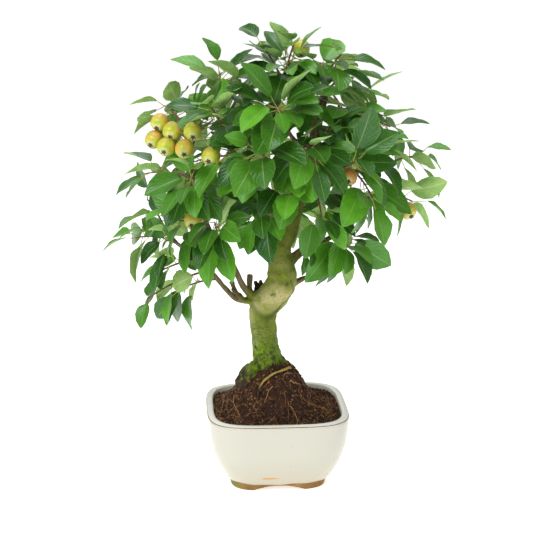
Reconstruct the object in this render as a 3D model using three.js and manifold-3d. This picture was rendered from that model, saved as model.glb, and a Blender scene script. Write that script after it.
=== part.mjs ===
// Crabapple bonsai in a square glazed pot, in millimetres.
// The origin is under the middle of the pot, +Z is up and -Y is the front of the tree.
//
// The tree is one grown piece of wood. Each leafy shoot and each group of fruits is one piece more,
// and its foot is cut to the branch that it grows from, a hair's breadth off it.

import * as THREE from 'three';
import { mergeVertices } from 'three/addons/utils/BufferGeometryUtils.js';
import Module from 'manifold-3d';

const wasm = await Module();
wasm.setup();

// ---------------------------------------------------------------- driving dimensions

const GAP = 0.3; // between two pieces that touch

const POT_HALF = 100; // half the width of the pot over its rim
const POT_HEIGHT = 105;
const POT_SQUARENESS = 4.2; // exponent of the superellipse that the pot is square by
const POT_FULLNESS = 2.4; // the higher, the fuller the body swells out over the foot
const POT_WALL = 10.5;
const POT_SIDES = 28;
const RIM_ROUND = 4; // how far the rim's outer edge is rounded in
const LIP_ROUND = 2.5; // how far its inner edge is
const RIM_DROP = 2; // fall of the rim toward both edges
const BODY_RINGS = [9.5, 20, 36, 60, 92]; // heights where the body's curve is drawn
const FOOT_HALF = 70; // half the width where the glaze ends
const FOOT_HEIGHT = 9.5;
const FOOT_WIDTH = 14;
const FOOT_ROUND = 2.5;
const FOOT_RECESS = 7.5; // how far the underside lies above the ground
const FLOOR_Z = 19; // top of the pot's floor
const FLOOR_ROUND = 6; // between the floor and the walls
const ARCH_WIDTH = 72; // opening between two feet
const ARCH_HEIGHT = 6.5;
const DRAIN_RADIUS = 11;

const MESH_HALF = 20; // drainage mesh over the drain hole
const MESH_THICK = 1;
const MESH_HOLES = 3; // holes along each side
const MESH_HOLE = 9;

const SOIL_EDGE_Z = 98;
const MOUND_HEIGHT = 41;
const MOUND_REACH = 62;
const MOUND_STEEPNESS = 3;
const MOUND_CENTRE = new THREE.Vector2(-8, -4);
const SOIL_UNEVEN = 1.6;
const SOIL_RINGS = [1, 0.78, 0.58]; // from the pot's wall to the mound's middle

const TWIG_RADIUS = 1.7;
const TWIG_TIP_RADIUS = 0.95;
const FREE_FROM = 2.5; // how far off the branch the first leaf may grow
const SHOOT_ARCH = 0.12; // rise of a shoot's middle, as a share of its length
const STALK_RADIUS = 0.9;
const STALK_ARCH = 0.55; // how steeply a stalk comes down on its fruit
const HUB_REACH = 14; // how far from its branch a bunch divides into stalks
const HUB_RISE = 4;
const FRUIT_RADIUS = 12;
const FRUIT_TILT = 0.018; // lean of a fruit per millimetre that it hangs away from its branch
const FRUIT_DIP = 0.6; // depth of the stalk's end over the fruit's centre, in fruit radii

const LEAF_LENGTH = 50;
const LENGTH_RANGE = [0.84, 1.18];
const YOUNG_LEAVES = 2; // the smaller ones at a shoot's tip
const YOUNG_SIZE = 0.8;
const LEAF_WIDTH_RATIO = 0.62;
const WIDTH_RANGE = [0.88, 1.1];
const LEAF_THICK = 1.2; // at the midrib; a blade thins out to its edge
const FOLD_RANGE = [8, 24]; // degrees that each half of a blade rises from the midrib
const BEND_RANGE = [0.06, 0.3]; // drop of a blade's tip, as a share of its length
const PETIOLE_LENGTH = 19;
const PETIOLE_RANGE = [0.75, 1.2];
const PETIOLE_RADIUS = 0.75;
const PETIOLE_TAPER = 0.75; // its radius at the twig, as a share of that at the blade
const KEEL_DEPTH = 1.3; // of a petiole, in its radii

// How leaves stand on a shoot.
const LEAF_STRETCH = [0.18, 0.98]; // part of the free shoot that bears leaves
const LEAN_RANGE = [28, 74]; // degrees off the shoot, from its tip to its foot
const LEAN_STRAY = 16;
const GOLDEN_ANGLE = 137.5;
const SHOOT_TURN = 61; // degrees between the first leaves of two shoots
const TRY_TURN = 47; // degrees between two tries at one leaf
const TURN_STRAY = 24;
const OUTWARD_PULL = 0.35;
const HANG_RANGE = [0.15, 0.9];
const FACE_OUT = 0.75;
const FACE_UP = 0.6;
const FACE_STRAY = 0.9;
const CROWN_CENTRE = new THREE.Vector3(0, 0, 410); // leaves face away from here

// ---------------------------------------------------------------- the grown wood

// Places along a stem, each [x, y, z, radius].
const TRUNK = [
  [-9, 0, 66, 38],
  [-9, 0, 116, 47],
  [-9, 0, 138, 47],
  [-8, 0, 150, 39.5],
  [-8, 0, 158, 33],
  [-11, 0, 164, 27],
  [-12, 0, 172, 21.4],
  [-16, 0, 192, 19],
  [-18, 0, 214, 18],
  [-20, 0, 234, 19],
  [-16, -3, 252, 21],
  [-4, -7, 267, 21.5],
  [6, -7, 283, 20.5],
  [7, -5, 299, 20],
  [5, -3, 318, 17],
  [6, 0, 336, 15],
  [14, 0, 351, 14.5],
  [23, 0, 383, 13],
  [28, 0, 400, 12],
  [40, 0, 430, 10.5],
  [50, 0, 468, 9],
  [54, 0, 499, 7.5],
  [62, 0, 529, 6],
  [66, 0, 551, 4.5],
  [60, 0, 572, 3.2],
];

// Branches start inside the wood that they grow from.
const BRANCHES = {
  trunk: TRUNK,
  low_left: [
    [-30, 0, 252, 7], [-54, -2, 259, 4.4], [-72, -4, 276, 3.7], [-93, -8, 303, 3.4],
    [-116, -10, 325, 3], [-139, -10, 343, 2.7], [-155, -5, 349, 2.3],
  ],
  mid_left: [
    [-30, 0, 258, 8], [-46, -4, 277, 4.6], [-62, -10, 312, 4], [-80, -20, 338, 3.6],
    [-98, -35, 377, 3.2], [-111, -45, 416, 2.9], [-119, -45, 456, 2.6], [-124, -30, 505, 2.2],
  ],
  top_left: [
    [14, 0, 358, 8], [-12, -20, 388, 5.4], [-46, -45, 432, 4.4], [-66, -50, 488, 3.6],
    [-74, -30, 540, 2.6],
  ],
  low_right: [
    [10, 0, 306, 9], [46, 12, 331, 4.8], [72, 12, 340, 4], [102, 8, 362, 3.4],
    [118, 0, 386, 3], [142, -8, 408, 2.4],
  ],
  mid_right: [
    [30, 0, 398, 8], [72, -8, 421, 4.4], [113, -12, 442, 3.4], [152, -5, 448, 2.4],
  ],
  front: [
    [20, 0, 372, 8], [4, -45, 395, 4.4], [-6, -85, 430, 3.2], [-16, -104, 468, 2.3],
  ],
  front_high: [
    [46, 0, 452, 7], [34, -42, 470, 4], [12, -78, 500, 3], [-2, -92, 526, 2.3],
  ],
  front_right: [
    [38, 0, 424, 7], [58, -42, 436, 4], [78, -74, 450, 2.6],
  ],
  back_left: [
    [22, 0, 384, 8], [-18, 45, 412, 4.8], [-52, 84, 448, 3.8], [-70, 96, 480, 2.6],
  ],
  back_right: [
    [36, 0, 420, 7], [62, 52, 446, 4.4], [90, 88, 476, 3.4], [96, 92, 520, 2.4],
  ],
  back_low: [
    [8, 0, 336, 8], [-4, 52, 356, 4.6], [-26, 96, 374, 2.8],
  ],
  top_mid: [
    [55, 0, 498, 5], [28, -6, 530, 3.4], [6, -8, 566, 2.4],
  ],
  high_right: [
    [53, 0, 484, 6], [88, 6, 500, 3.6], [118, 14, 508, 2.5],
  ],
};

// Short dead wood: cut stubs, a gnarled spur and broken jags.
const STUBS = {
  cut_stub_right: [[10, 2, 272, 8], [40, 8, 286, 3.2], [62, 12, 293, 3.4]],
  cut_stub_up: [[-34, 2, 254, 6], [-37, 5, 275, 4], [-36, 6, 293, 4.6]],
  gnarled_spur: [[-40, -4, 252, 6], [-52, -7, 268, 5], [-58, -8, 276, 3.4], [-61, -8, 288, 4.2]],
  broken_jag_left: [[-26, 6, 258, 7], [-26, 10, 270, 5], [-29, 12, 282, 1.6]],
  broken_jag_right: [[-14, 6, 264, 9], [-20, 12, 272, 5], [-21, 13, 284, 1.6]],
  side_spur: [[12, 3, 300, 6], [27, 5, 312, 2.8], [30, 6, 326, 2]],
};

// Roots leave the foot of the trunk, run over the mound and dive into the soil.
const ROOTS = {
  arching_root: [[18, -6, 154, 4], [17, -17, 162, 2.8], [9, -25, 162, 2.6], [-2, -32, 161, 2.5],
    [-14, -37, 157, 2.4], [-23, -40, 150, 2.3], [-29, -46, 138, 2.3], [-33, -56, 114, 2.2]],
  root_left: [[-38, -6, 140, 10], [-58, -14, 118, 7], [-72, -20, 86, 4]],
  root_front_left: [[-30, -28, 136, 10], [-46, -48, 114, 7], [-54, -62, 84, 4]],
  root_front: [[4, -34, 136, 11], [10, -54, 114, 7], [16, -68, 84, 4]],
  root_right: [[22, -10, 140, 11], [44, -20, 118, 7], [58, -32, 86, 4]],
  root_back_right: [[18, 24, 138, 11], [38, 46, 114, 7], [50, 60, 84, 4]],
  root_back_left: [[-28, 30, 136, 11], [-42, 52, 114, 7], [-52, 66, 84, 4]],
};

// ---------------------------------------------------------------- leafy shoots

// Each shoot grows from a branch, at a share of its length, to a tip, with some leaves.
const SHOOTS = [
  { name: 'leader', from: 'trunk', at: 1, tip: [58, -4, 582], leaves: 7, size: 1 },
  { name: 'crown_left', from: 'top_mid', at: 1, tip: [18, -20, 592], leaves: 6, size: 0.95 },
  { name: 'crown_back', from: 'top_mid', at: 0.7, tip: [12, 46, 574], leaves: 5, size: 1 },
  { name: 'crown_right', from: 'trunk', at: 0.95, tip: [94, 12, 566], leaves: 5, size: 1 },
  { name: 'high_left', from: 'top_left', at: 1, tip: [-78, -6, 576], leaves: 6, size: 1 },
  { name: 'high_mid_left', from: 'top_left', at: 0.88, tip: [-36, -34, 566], leaves: 5, size: 0.95 },
  { name: 'high_front', from: 'top_mid', at: 0.45, tip: [16, -62, 552], leaves: 5, size: 1 },
  { name: 'far_left_high', from: 'mid_left', at: 1, tip: [-152, 0, 530], leaves: 6, size: 0.95 },
  { name: 'left_front_high', from: 'top_left', at: 0.74, tip: [-92, -78, 538], leaves: 5, size: 1.05 },
  { name: 'right_high_front', from: 'high_right', at: 0.4, tip: [84, -38, 532], leaves: 5, size: 1.1 },
  { name: 'right_high', from: 'high_right', at: 1, tip: [156, 4, 498], leaves: 5, size: 0.95 },
  { name: 'right_high_back', from: 'high_right', at: 0.75, tip: [124, 56, 526], leaves: 5, size: 1 },
  { name: 'front_high', from: 'front_high', at: 1, tip: [-8, -112, 540], leaves: 5, size: 1.1 },
  { name: 'front_mid', from: 'front_high', at: 0.6, tip: [40, -114, 478], leaves: 6, size: 1.1 },
  { name: 'front_mid_right', from: 'front_high', at: 0.4, tip: [66, -74, 508], leaves: 4, size: 1.05 },
  { name: 'front_left', from: 'front', at: 1, tip: [-34, -118, 484], leaves: 5, size: 1.05 },
  { name: 'front_inner_left', from: 'top_left', at: 0.6, tip: [-72, -106, 482], leaves: 5, size: 1.1 },
  { name: 'fruit_spur_left', from: 'mid_left', at: 0.88, tip: [-104, -40, 512], leaves: 4, size: 0.9 },
  { name: 'left_mid', from: 'mid_left', at: 0.8, tip: [-180, -14, 440], leaves: 6, size: 1.05 },
  { name: 'left_mid_front', from: 'mid_left', at: 0.72, tip: [-118, -92, 448], leaves: 6, size: 1.05 },
  { name: 'left_far', from: 'low_left', at: 0.9, tip: [-178, 24, 398], leaves: 5, size: 1 },
  { name: 'left_low', from: 'low_left', at: 1, tip: [-194, -8, 350], leaves: 6, size: 0.9 },
  { name: 'left_low_front', from: 'mid_left', at: 0.5, tip: [-140, -62, 386], leaves: 5, size: 1 },
  { name: 'left_low_mid', from: 'mid_left', at: 0.44, tip: [-88, -92, 388], leaves: 5, size: 1.05 },
  { name: 'left_hanging', from: 'low_left', at: 0.42, tip: [-138, -14, 276], leaves: 6, size: 0.95 },
  { name: 'front_low', from: 'front', at: 0.45, tip: [-30, -92, 402], leaves: 5, size: 1.1 },
  { name: 'front_low_right', from: 'front', at: 0.66, tip: [16, -116, 432], leaves: 4, size: 1.1 },
  { name: 'right_low_inner', from: 'front_right', at: 0.25, tip: [56, -66, 386], leaves: 4, size: 1.05 },
  { name: 'right_low', from: 'low_right', at: 0.5, tip: [98, -10, 334], leaves: 5, size: 1.1 },
  { name: 'right_mid_front', from: 'front_right', at: 1, tip: [96, -100, 466], leaves: 5, size: 1.1 },
  { name: 'right_mid', from: 'mid_right', at: 0.8, tip: [132, -48, 478], leaves: 5, size: 1.05 },
  { name: 'right_low_front', from: 'mid_right', at: 0.6, tip: [122, -76, 414], leaves: 5, size: 1.1 },
  { name: 'right_far', from: 'mid_right', at: 1, tip: [202, 2, 458], leaves: 6, size: 0.95 },
  { name: 'right_far_low', from: 'low_right', at: 1, tip: [186, -18, 398], leaves: 5, size: 1 },
  { name: 'back_low_left', from: 'back_low', at: 1, tip: [-56, 116, 388], leaves: 4, size: 1.05 },
  { name: 'back_low_right', from: 'back_low', at: 0.5, tip: [34, 104, 372], leaves: 4, size: 1.05 },
  { name: 'back_left', from: 'back_left', at: 1, tip: [-88, 112, 492], leaves: 4, size: 1.05 },
  { name: 'back_far_left', from: 'back_left', at: 0.66, tip: [-116, 84, 438], leaves: 4, size: 1.05 },
  { name: 'back_mid_left', from: 'back_left', at: 0.8, tip: [-30, 122, 470], leaves: 4, size: 1.05 },
  { name: 'back_mid_right', from: 'back_right', at: 0.45, tip: [48, 118, 446], leaves: 4, size: 1.05 },
  { name: 'back_right', from: 'back_right', at: 0.66, tip: [124, 98, 472], leaves: 4, size: 1.05 },
  { name: 'back_high_right', from: 'back_right', at: 1, tip: [72, 88, 548], leaves: 4, size: 1 },
  { name: 'back_low_far_right', from: 'low_right', at: 0.62, tip: [122, 70, 396], leaves: 4, size: 1.05 },
];

// Each group of fruits hangs from a branch, with the fruits' centres given.
const FRUITS = [
  {
    name: 'fruit_bunch_left',
    from: 'mid_left',
    at: 0.96,
    centres: [[-158, -36, 512], [-142, -50, 502], [-115, -64, 503], [-166, -42, 490],
      [-150, -60, 483], [-126, -68, 481]],
  },
  { name: 'fruit_left_front', from: 'top_left', at: 0.68, centres: [[-92, -88, 474]] },
  { name: 'fruit_left_green', from: 'top_left', at: 0.52, centres: [[-62, -88, 440]] },
  { name: 'fruit_left_hidden', from: 'mid_left', at: 0.6, centres: [[-116, -80, 388]] },
  { name: 'fruit_low_left', from: 'mid_left', at: 0.3, centres: [[-88, -58, 342]] },
  { name: 'fruit_low_mid', from: 'top_left', at: 0.36, centres: [[-48, -66, 368]] },
  { name: 'fruit_top', from: 'top_mid', at: 0.85, centres: [[34, 14, 604]] },
  { name: 'fruit_right_orange', from: 'mid_right', at: 0.5, centres: [[90, -70, 442]] },
  { name: 'fruit_far_right', from: 'low_right', at: 0.9, centres: [[182, -4, 382]] },
  { name: 'fruit_pair_back', from: 'back_left', at: 0.5, centres: [[-64, 126, 426], [-38, 130, 416]] },
];

// ---------------------------------------------------------------- small helpers

const vec = (x, y, z) => new THREE.Vector3(x, y, z);
const UP = vec(0, 0, 1);
const lerp = THREE.MathUtils.lerp;
const radians = THREE.MathUtils.degToRad;

/** A closed indexed geometry from points and triangles. */
function shell(points, triangles) {
  const geometry = new THREE.BufferGeometry();
  geometry.setAttribute('position', new THREE.Float32BufferAttribute(points.flatMap((p) => p.toArray()), 3));
  geometry.setIndex(triangles.flat());
  return geometry;
}

/** A manifold solid from a closed geometry. */
function solid(geometry) {
  const bare = geometry.index ? geometry : geometry.clone();
  bare.deleteAttribute('normal');
  bare.deleteAttribute('uv');
  const merged = mergeVertices(bare, 1e-4);
  return new wasm.Manifold(
    new wasm.Mesh({
      numProp: 3,
      vertProperties: new Float32Array(merged.attributes.position.array),
      triVerts: new Uint32Array(merged.index.array),
    }),
  );
}

/** The geometry of a manifold solid, without the loose scraps that a cut may leave. */
function geometryOf(body) {
  const pieces = body.decompose();
  const largest = pieces.reduce((a, b) => (b.volume() > a.volume() ? b : a));
  const mesh = largest.getMesh();
  const geometry = new THREE.BufferGeometry();
  geometry.setAttribute('position', new THREE.BufferAttribute(mesh.vertProperties, 3));
  geometry.setIndex(new THREE.BufferAttribute(mesh.triVerts, 1));
  geometry.computeVertexNormals();
  return geometry;
}

function joined(bodies) {
  return bodies.reduce((a, b) => a.add(b));
}

/** A closed skin over rings of equally many points, from the first ring's cap to the last one's. */
function loft(rings) {
  const count = rings[0].length;
  const triangles = [];
  for (let r = 0; r + 1 < rings.length; r += 1) {
    for (let i = 0; i < count; i += 1) {
      const j = (i + 1) % count;
      const [a, b, c, d] = [r * count + i, r * count + j, (r + 1) * count + j, (r + 1) * count + i];
      triangles.push([a, b, c], [a, c, d]);
    }
  }
  const last = (rings.length - 1) * count;
  for (let i = 1; i + 1 < count; i += 1) {
    triangles.push([0, i + 1, i], [last, last + i, last + i + 1]);
  }
  return shell(rings.flat(), triangles);
}

/** A ring of the pot's rounded square, seen from above counterclockwise. */
function squareRing(half, z, sides = POT_SIDES) {
  const power = 2 / POT_SQUARENESS;
  return Array.from({ length: sides }, (_, i) => {
    const angle = (2 * Math.PI * (i + 0.5)) / sides;
    const [c, s] = [Math.cos(angle), Math.sin(angle)];
    return vec(half * Math.sign(c) * Math.abs(c) ** power, half * Math.sign(s) * Math.abs(s) ** power, z);
  });
}

/** The two directions square to a tangent: one level, one above it. */
function squareTo(tangent) {
  const level = Math.abs(tangent.z) < 0.9 ? UP : vec(1, 0, 0);
  const u = vec(0, 0, 0).crossVectors(tangent, level).normalize();
  return [u, vec(0, 0, 0).crossVectors(tangent, u).normalize()];
}

/** A direction square to a tangent, turned about it. */
function turned(tangent, angle) {
  const [u, w] = squareTo(tangent);
  return u.multiplyScalar(Math.cos(angle)).addScaledVector(w, Math.sin(angle));
}

/** Numbers from 0 to 1 by a seeded rule. */
function seeded(seed) {
  let state = seed;
  return () => {
    state = (state + 0x6d2b79f5) | 0;
    let t = Math.imul(state ^ (state >>> 15), 1 | state);
    t = (t + Math.imul(t ^ (t >>> 7), 61 | t)) ^ t;
    return ((t ^ (t >>> 14)) >>> 0) / 4294967296;
  };
}

const curveOf = (stations) => new THREE.CatmullRomCurve3(
  stations.map(([x, y, z]) => vec(x, y, z)),
  false,
  'catmullrom',
);

/** A tube through places with radii; its ring follows the stem without twisting. */
function limb(stations, { sides = 5, grow = 0, flute = 0 } = {}) {
  const curve = curveOf(stations);
  const last = stations.length - 1;
  let side = null;
  const rings = stations.map(([, , , radius], k) => {
    const tangent = curve.getTangent(k / last);
    const centre = curve.getPoint(k / last);
    if (k === 0) centre.addScaledVector(tangent, -grow);
    if (k === last) centre.addScaledVector(tangent, grow);
    side = side ? side.addScaledVector(tangent, -side.dot(tangent)).normalize() : squareTo(tangent)[0];
    const across = vec(0, 0, 0).crossVectors(tangent, side);
    return Array.from({ length: sides }, (_, i) => {
      const angle = (2 * Math.PI * i) / sides;
      const reach = radius * (1 + flute * Math.sin(3 * angle + 0.9 * k)) + grow;
      return centre.clone()
        .addScaledVector(side, reach * Math.cos(angle))
        .addScaledVector(across, reach * Math.sin(angle));
    });
  });
  return solid(loft(rings));
}

const TRUNK_SHAPE = { sides: 9, flute: 0.05 };

/** A branch, or the trunk, made thicker all round by a gap where something is to stand clear of it. */
function branchBody(name, grow = 0) {
  return limb(BRANCHES[name], { ...(name === 'trunk' ? TRUNK_SHAPE : {}), grow });
}

// ---------------------------------------------------------------- pot, mesh and soil

/** Half the width of the pot's outside at a height. */
function potHalf(z) {
  const rise = (z - FOOT_HEIGHT) / (POT_HEIGHT - FOOT_HEIGHT);
  return FOOT_HALF + (POT_HALF - FOOT_HALF) * (1 - Math.max(1 - rise, 0) ** POT_FULLNESS);
}

function archCut(turn) {
  const shape = new THREE.Shape();
  shape.moveTo(-ARCH_WIDTH / 2, -1);
  shape.lineTo(ARCH_WIDTH / 2, -1);
  shape.lineTo(ARCH_WIDTH / 2, 0);
  shape.quadraticCurveTo(ARCH_WIDTH / 4, ARCH_HEIGHT, 0, ARCH_HEIGHT);
  shape.quadraticCurveTo(-ARCH_WIDTH / 4, ARCH_HEIGHT, -ARCH_WIDTH / 2, 0);
  const cut = new THREE.ExtrudeGeometry(shape, {
    depth: 2 * POT_HALF,
    bevelEnabled: false,
    curveSegments: 4,
  });
  cut.translate(0, 0, -POT_HALF);
  cut.rotateX(Math.PI / 2);
  cut.rotateZ(turn);
  return solid(cut);
}

// Rings of the pot's inside, from the rounded edge of its floor to its lip.
const INSIDE = [FLOOR_Z, FLOOR_Z + FLOOR_ROUND, 58, POT_HEIGHT - RIM_DROP].map((z) => (
  { z, half: potHalf(z) - POT_WALL - (z === FLOOR_Z ? FLOOR_ROUND : 0) }
));

/** Half the width of the pot's inside at a height. */
function insideHalf(z) {
  const k = Math.max(1, INSIDE.findIndex((ring) => ring.z >= z));
  const [low, high] = [INSIDE[k - 1], INSIDE[k]];
  return lerp(low.half, high.half, (z - low.z) / (high.z - low.z));
}

function potGeometry() {
  const foot = [
    squareRing(FOOT_HALF - FOOT_WIDTH, FOOT_RECESS),
    squareRing(FOOT_HALF - FOOT_WIDTH, 0),
    squareRing(FOOT_HALF - FOOT_ROUND, 0),
  ];
  const body = BODY_RINGS.map((z) => squareRing(potHalf(z), z));
  const rim = [
    squareRing(POT_HALF - 1, POT_HEIGHT - RIM_DROP),
    squareRing(POT_HALF - RIM_ROUND, POT_HEIGHT),
    squareRing(POT_HALF - POT_WALL + LIP_ROUND, POT_HEIGHT),
  ];
  const inside = INSIDE.map(({ z, half }) => squareRing(half, z)).reverse();
  const drain = new THREE.CylinderGeometry(DRAIN_RADIUS, DRAIN_RADIUS, 4 * FLOOR_Z, 16);
  drain.rotateX(Math.PI / 2);
  const pot = solid(loft([...foot, ...body, ...rim, ...inside]));
  return geometryOf(pot.subtract(archCut(0)).subtract(archCut(Math.PI / 2)).subtract(solid(drain)));
}

/** A plate with square holes in rows. */
function meshGeometry() {
  const pitch = (2 * MESH_HALF) / MESH_HOLES;
  let plate = solid(new THREE.BoxGeometry(2 * MESH_HALF, 2 * MESH_HALF, MESH_THICK));
  for (let i = 0; i < MESH_HOLES; i += 1) {
    for (let j = 0; j < MESH_HOLES; j += 1) {
      const hole = new THREE.BoxGeometry(MESH_HOLE, MESH_HOLE, 2 * MESH_THICK);
      hole.translate((i + 0.5) * pitch - MESH_HALF, (j + 0.5) * pitch - MESH_HALF, 0);
      plate = plate.subtract(solid(hole));
    }
  }
  return geometryOf(plate);
}

/** Height of the soil: level near the pot's wall, a mound under the tree, and uneven all over. */
function soilHeight(x, y) {
  const away = Math.hypot(x - MOUND_CENTRE.x, (y - MOUND_CENTRE.y) * 1.05) / MOUND_REACH;
  const uneven = SOIL_UNEVEN * Math.sin(x / 9 + 1) * Math.cos(y / 11);
  return SOIL_EDGE_Z + MOUND_HEIGHT * Math.exp(-(away ** MOUND_STEEPNESS)) + uneven;
}

function soilGeometry(rootBodies) {
  const edge = insideHalf(SOIL_EDGE_Z - 3) - GAP;
  const under = INSIDE.slice(0, 3).map(({ z, half }, k) => squareRing(half - GAP, k === 0 ? z + GAP : z));
  const top = SOIL_RINGS.map((share) => squareRing(edge * share, 0)
    .map((p) => p.lerp(vec(MOUND_CENTRE.x, MOUND_CENTRE.y, 0), 1 - share))
    .map((p) => p.setZ(soilHeight(p.x, p.y))));
  const width = 2 * (MESH_HALF + GAP);
  const pocket = new THREE.BoxGeometry(width, width, 2 * (MESH_THICK + 2 * GAP));
  pocket.translate(0, 0, FLOOR_Z);
  const body = solid(loft([...under, ...top])).subtract(solid(pocket));
  return geometryOf(rootBodies.reduce((rest, root) => rest.subtract(root), body));
}

// ---------------------------------------------------------------- where shoots and stalks start

/** The place on a branch that a shoot or stalk grows from, with the wood's radius there. */
function footOn(from, at) {
  const stations = BRANCHES[from];
  const span = at * (stations.length - 1);
  const k = Math.min(Math.floor(span), stations.length - 2);
  return {
    point: curveOf(stations).getPoint(at),
    radius: lerp(stations[k][3], stations[k + 1][3], span - k),
  };
}

/** A stem from a branch to a tip, arched upward, and the share of it where its free part starts. */
function stemTo(foot, tip) {
  const length = foot.point.distanceTo(tip);
  const control = foot.point.clone().lerp(tip, 0.5).addScaledVector(UP, SHOOT_ARCH * length);
  const curve = new THREE.QuadraticBezierCurve3(foot.point, control, tip);
  return { curve, start: (foot.radius + FREE_FROM) / length };
}

/** Stations [x, y, z, radius] along a stem's curve. */
function stationsOf(curve, count, radius, radiusAtTip) {
  return Array.from({ length: count }, (_, i) => {
    const share = i / (count - 1);
    return [...curve.getPoint(share).toArray(), lerp(radius, radiusAtTip, share)];
  });
}

function shootStem(shoot) {
  return stemTo(footOn(shoot.from, shoot.at), vec(...shoot.tip));
}

/** Where the stalks of a bunch meet. A single fruit's stalk starts in the branch itself. */
function fruitStem(group) {
  const foot = footOn(group.from, group.at);
  if (group.centres.length === 1) return null;
  const middle = group.centres.reduce((sum, c) => sum.add(vec(...c)), vec(0, 0, 0));
  middle.divideScalar(group.centres.length);
  const share = (foot.radius + HUB_REACH) / foot.point.distanceTo(middle);
  return stemTo(foot, foot.point.clone().lerp(middle, share).addScaledVector(UP, HUB_RISE));
}

// ---------------------------------------------------------------- leaves

// Outline of half a blade: [share of the length, share of the half width, wave off the blade].
// The widest places are coarse teeth, each with a notch after it.
const OUTLINE = [
  [0.06, 0.55, 0],
  [0.32, 1, 0.05],
  [0.38, 0.9, -0.04],
  [0.63, 0.8, 0.06],
  [0.69, 0.64, -0.04],
];
const RIB = 0.45; // place of the midrib's middle point
const LEAF_TRIES = 30;

/** Place and form of one leaf of a shoot. Each try at the same leaf gives another place. */
function leafPlan(shoot, index, attempt) {
  const draw = seeded(shoot.number * 4096 + index * 64 + attempt);
  const within = ([low, high]) => lerp(low, high, draw());
  const order = index / shoot.leaves;
  const free = lerp(LEAF_STRETCH[1], LEAF_STRETCH[0], order);
  const root = shoot.stem.curve.getPoint(lerp(shoot.stem.start, 1, free));
  const stem = shoot.stem.curve.getTangent(lerp(shoot.stem.start, 1, free));
  const turn = shoot.number * SHOOT_TURN + index * GOLDEN_ANGLE + attempt * TRY_TURN + TURN_STRAY * draw();
  const lean = radians(lerp(...LEAN_RANGE, Math.sqrt(order)) + LEAN_STRAY * draw());
  const petiole = stem.clone().multiplyScalar(Math.cos(lean));
  petiole.addScaledVector(turned(stem, radians(turn)), Math.sin(lean)).normalize();
  const outward = root.clone().sub(CROWN_CENTRE).normalize();
  const along = petiole.clone().addScaledVector(outward, OUTWARD_PULL);
  along.addScaledVector(UP, -within(HANG_RANGE)).normalize();
  const face = outward.clone().multiplyScalar(FACE_OUT).addScaledVector(UP, FACE_UP);
  face.add(vec(draw() - 0.5, draw() - 0.5, draw() - 0.5).multiplyScalar(FACE_STRAY));
  const up = face.addScaledVector(along, -face.dot(along)).normalize();
  const age = index < YOUNG_LEAVES ? YOUNG_SIZE : 1;
  const length = LEAF_LENGTH * shoot.size * age * within(LENGTH_RANGE);
  return {
    root,
    base: root.clone().addScaledVector(petiole, PETIOLE_LENGTH * within(PETIOLE_RANGE)),
    along,
    up,
    side: vec(0, 0, 0).crossVectors(along, up),
    length,
    halfWidth: 0.5 * length * LEAF_WIDTH_RATIO * within(WIDTH_RANGE),
    fold: radians(within(FOLD_RANGE)),
    bend: within(BEND_RANGE),
  };
}

/** The midline of a blade at a share of its length, with the direction that the blade faces there. */
function midline(leaf, share) {
  const bend = leaf.bend * share;
  const point = leaf.base.clone()
    .addScaledVector(leaf.along, leaf.length * share)
    .addScaledVector(leaf.up, -leaf.length * bend * share);
  const up = leaf.up.clone().addScaledVector(leaf.along, 2 * bend).normalize();
  return { point, up };
}

/** A place on a blade: a share of its length and a signed share of its half width there. */
function onBlade(leaf, share, across, wave) {
  const { point, up } = midline(leaf, share);
  return point
    .addScaledVector(leaf.side, across * leaf.halfWidth * Math.cos(leaf.fold))
    .addScaledVector(up, Math.abs(across) * leaf.halfWidth * Math.sin(leaf.fold) + wave * leaf.halfWidth);
}

/** A petiole with its blade as one closed skin: both faces share the outline and its triangles. */
function leafBody(leaf) {
  const mitre = leaf.base.clone().sub(leaf.root).normalize().add(leaf.along).normalize();
  const across = leaf.side.clone().multiplyScalar(PETIOLE_RADIUS);
  const below = vec(0, 0, 0).crossVectors(mitre, leaf.side).multiplyScalar(KEEL_DEPTH * PETIOLE_RADIUS);
  const section = (place, scale) => [
    place.clone().addScaledVector(across, -scale),
    place.clone().addScaledVector(across, scale),
    place.clone().addScaledVector(below, scale),
  ];
  const outline = [-1, 1].map((hand) => OUTLINE.map(([s, a, wave]) => onBlade(leaf, s, hand * a, wave)));
  const tip = onBlade(leaf, 1, 0, 0);
  const middle = midline(leaf, RIB);
  const rib = [0.5, -0.5].map((face) => middle.point.clone().addScaledVector(middle.up, face * LEAF_THICK));
  const ends = [...section(leaf.root, PETIOLE_TAPER), ...section(leaf.base, 1)];
  const points = [...ends, ...outline.flat(), tip, ...rib];
  const n = OUTLINE.length;
  const [L, R, K, LEFT, RIGHT] = [3, 4, 5, 6, 6 + n];
  const TIP = 6 + 2 * n;
  const [TOP, LOW] = [TIP + 1, TIP + 2];
  const fan = (start, edge, hub) => {
    const chain = [start, ...OUTLINE.map((_, i) => edge + i), TIP];
    return chain.slice(1).map((corner, i) => [chain[i], corner, hub]);
  };
  const flipped = (triangles) => triangles.map(([a, b, c]) => [a, c, b]);
  const triangles = [
    ...flipped(fan(L, LEFT, TOP)),
    ...fan(R, RIGHT, TOP),
    [L, R, TOP],
    ...fan(L, LEFT, LOW),
    ...flipped(fan(R, RIGHT, LOW)),
    [K, L, LOW],
    [R, K, LOW],
    ...[[0, 1, R, L], [1, 2, K, R], [2, 0, L, K]].flatMap(([a, b, c, d]) => [[a, b, c], [a, c, d]]),
    [0, 2, 1],
  ];
  return solid(shell(points, triangles));
}

// ---------------------------------------------------------------- keeping leaves clear

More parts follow.
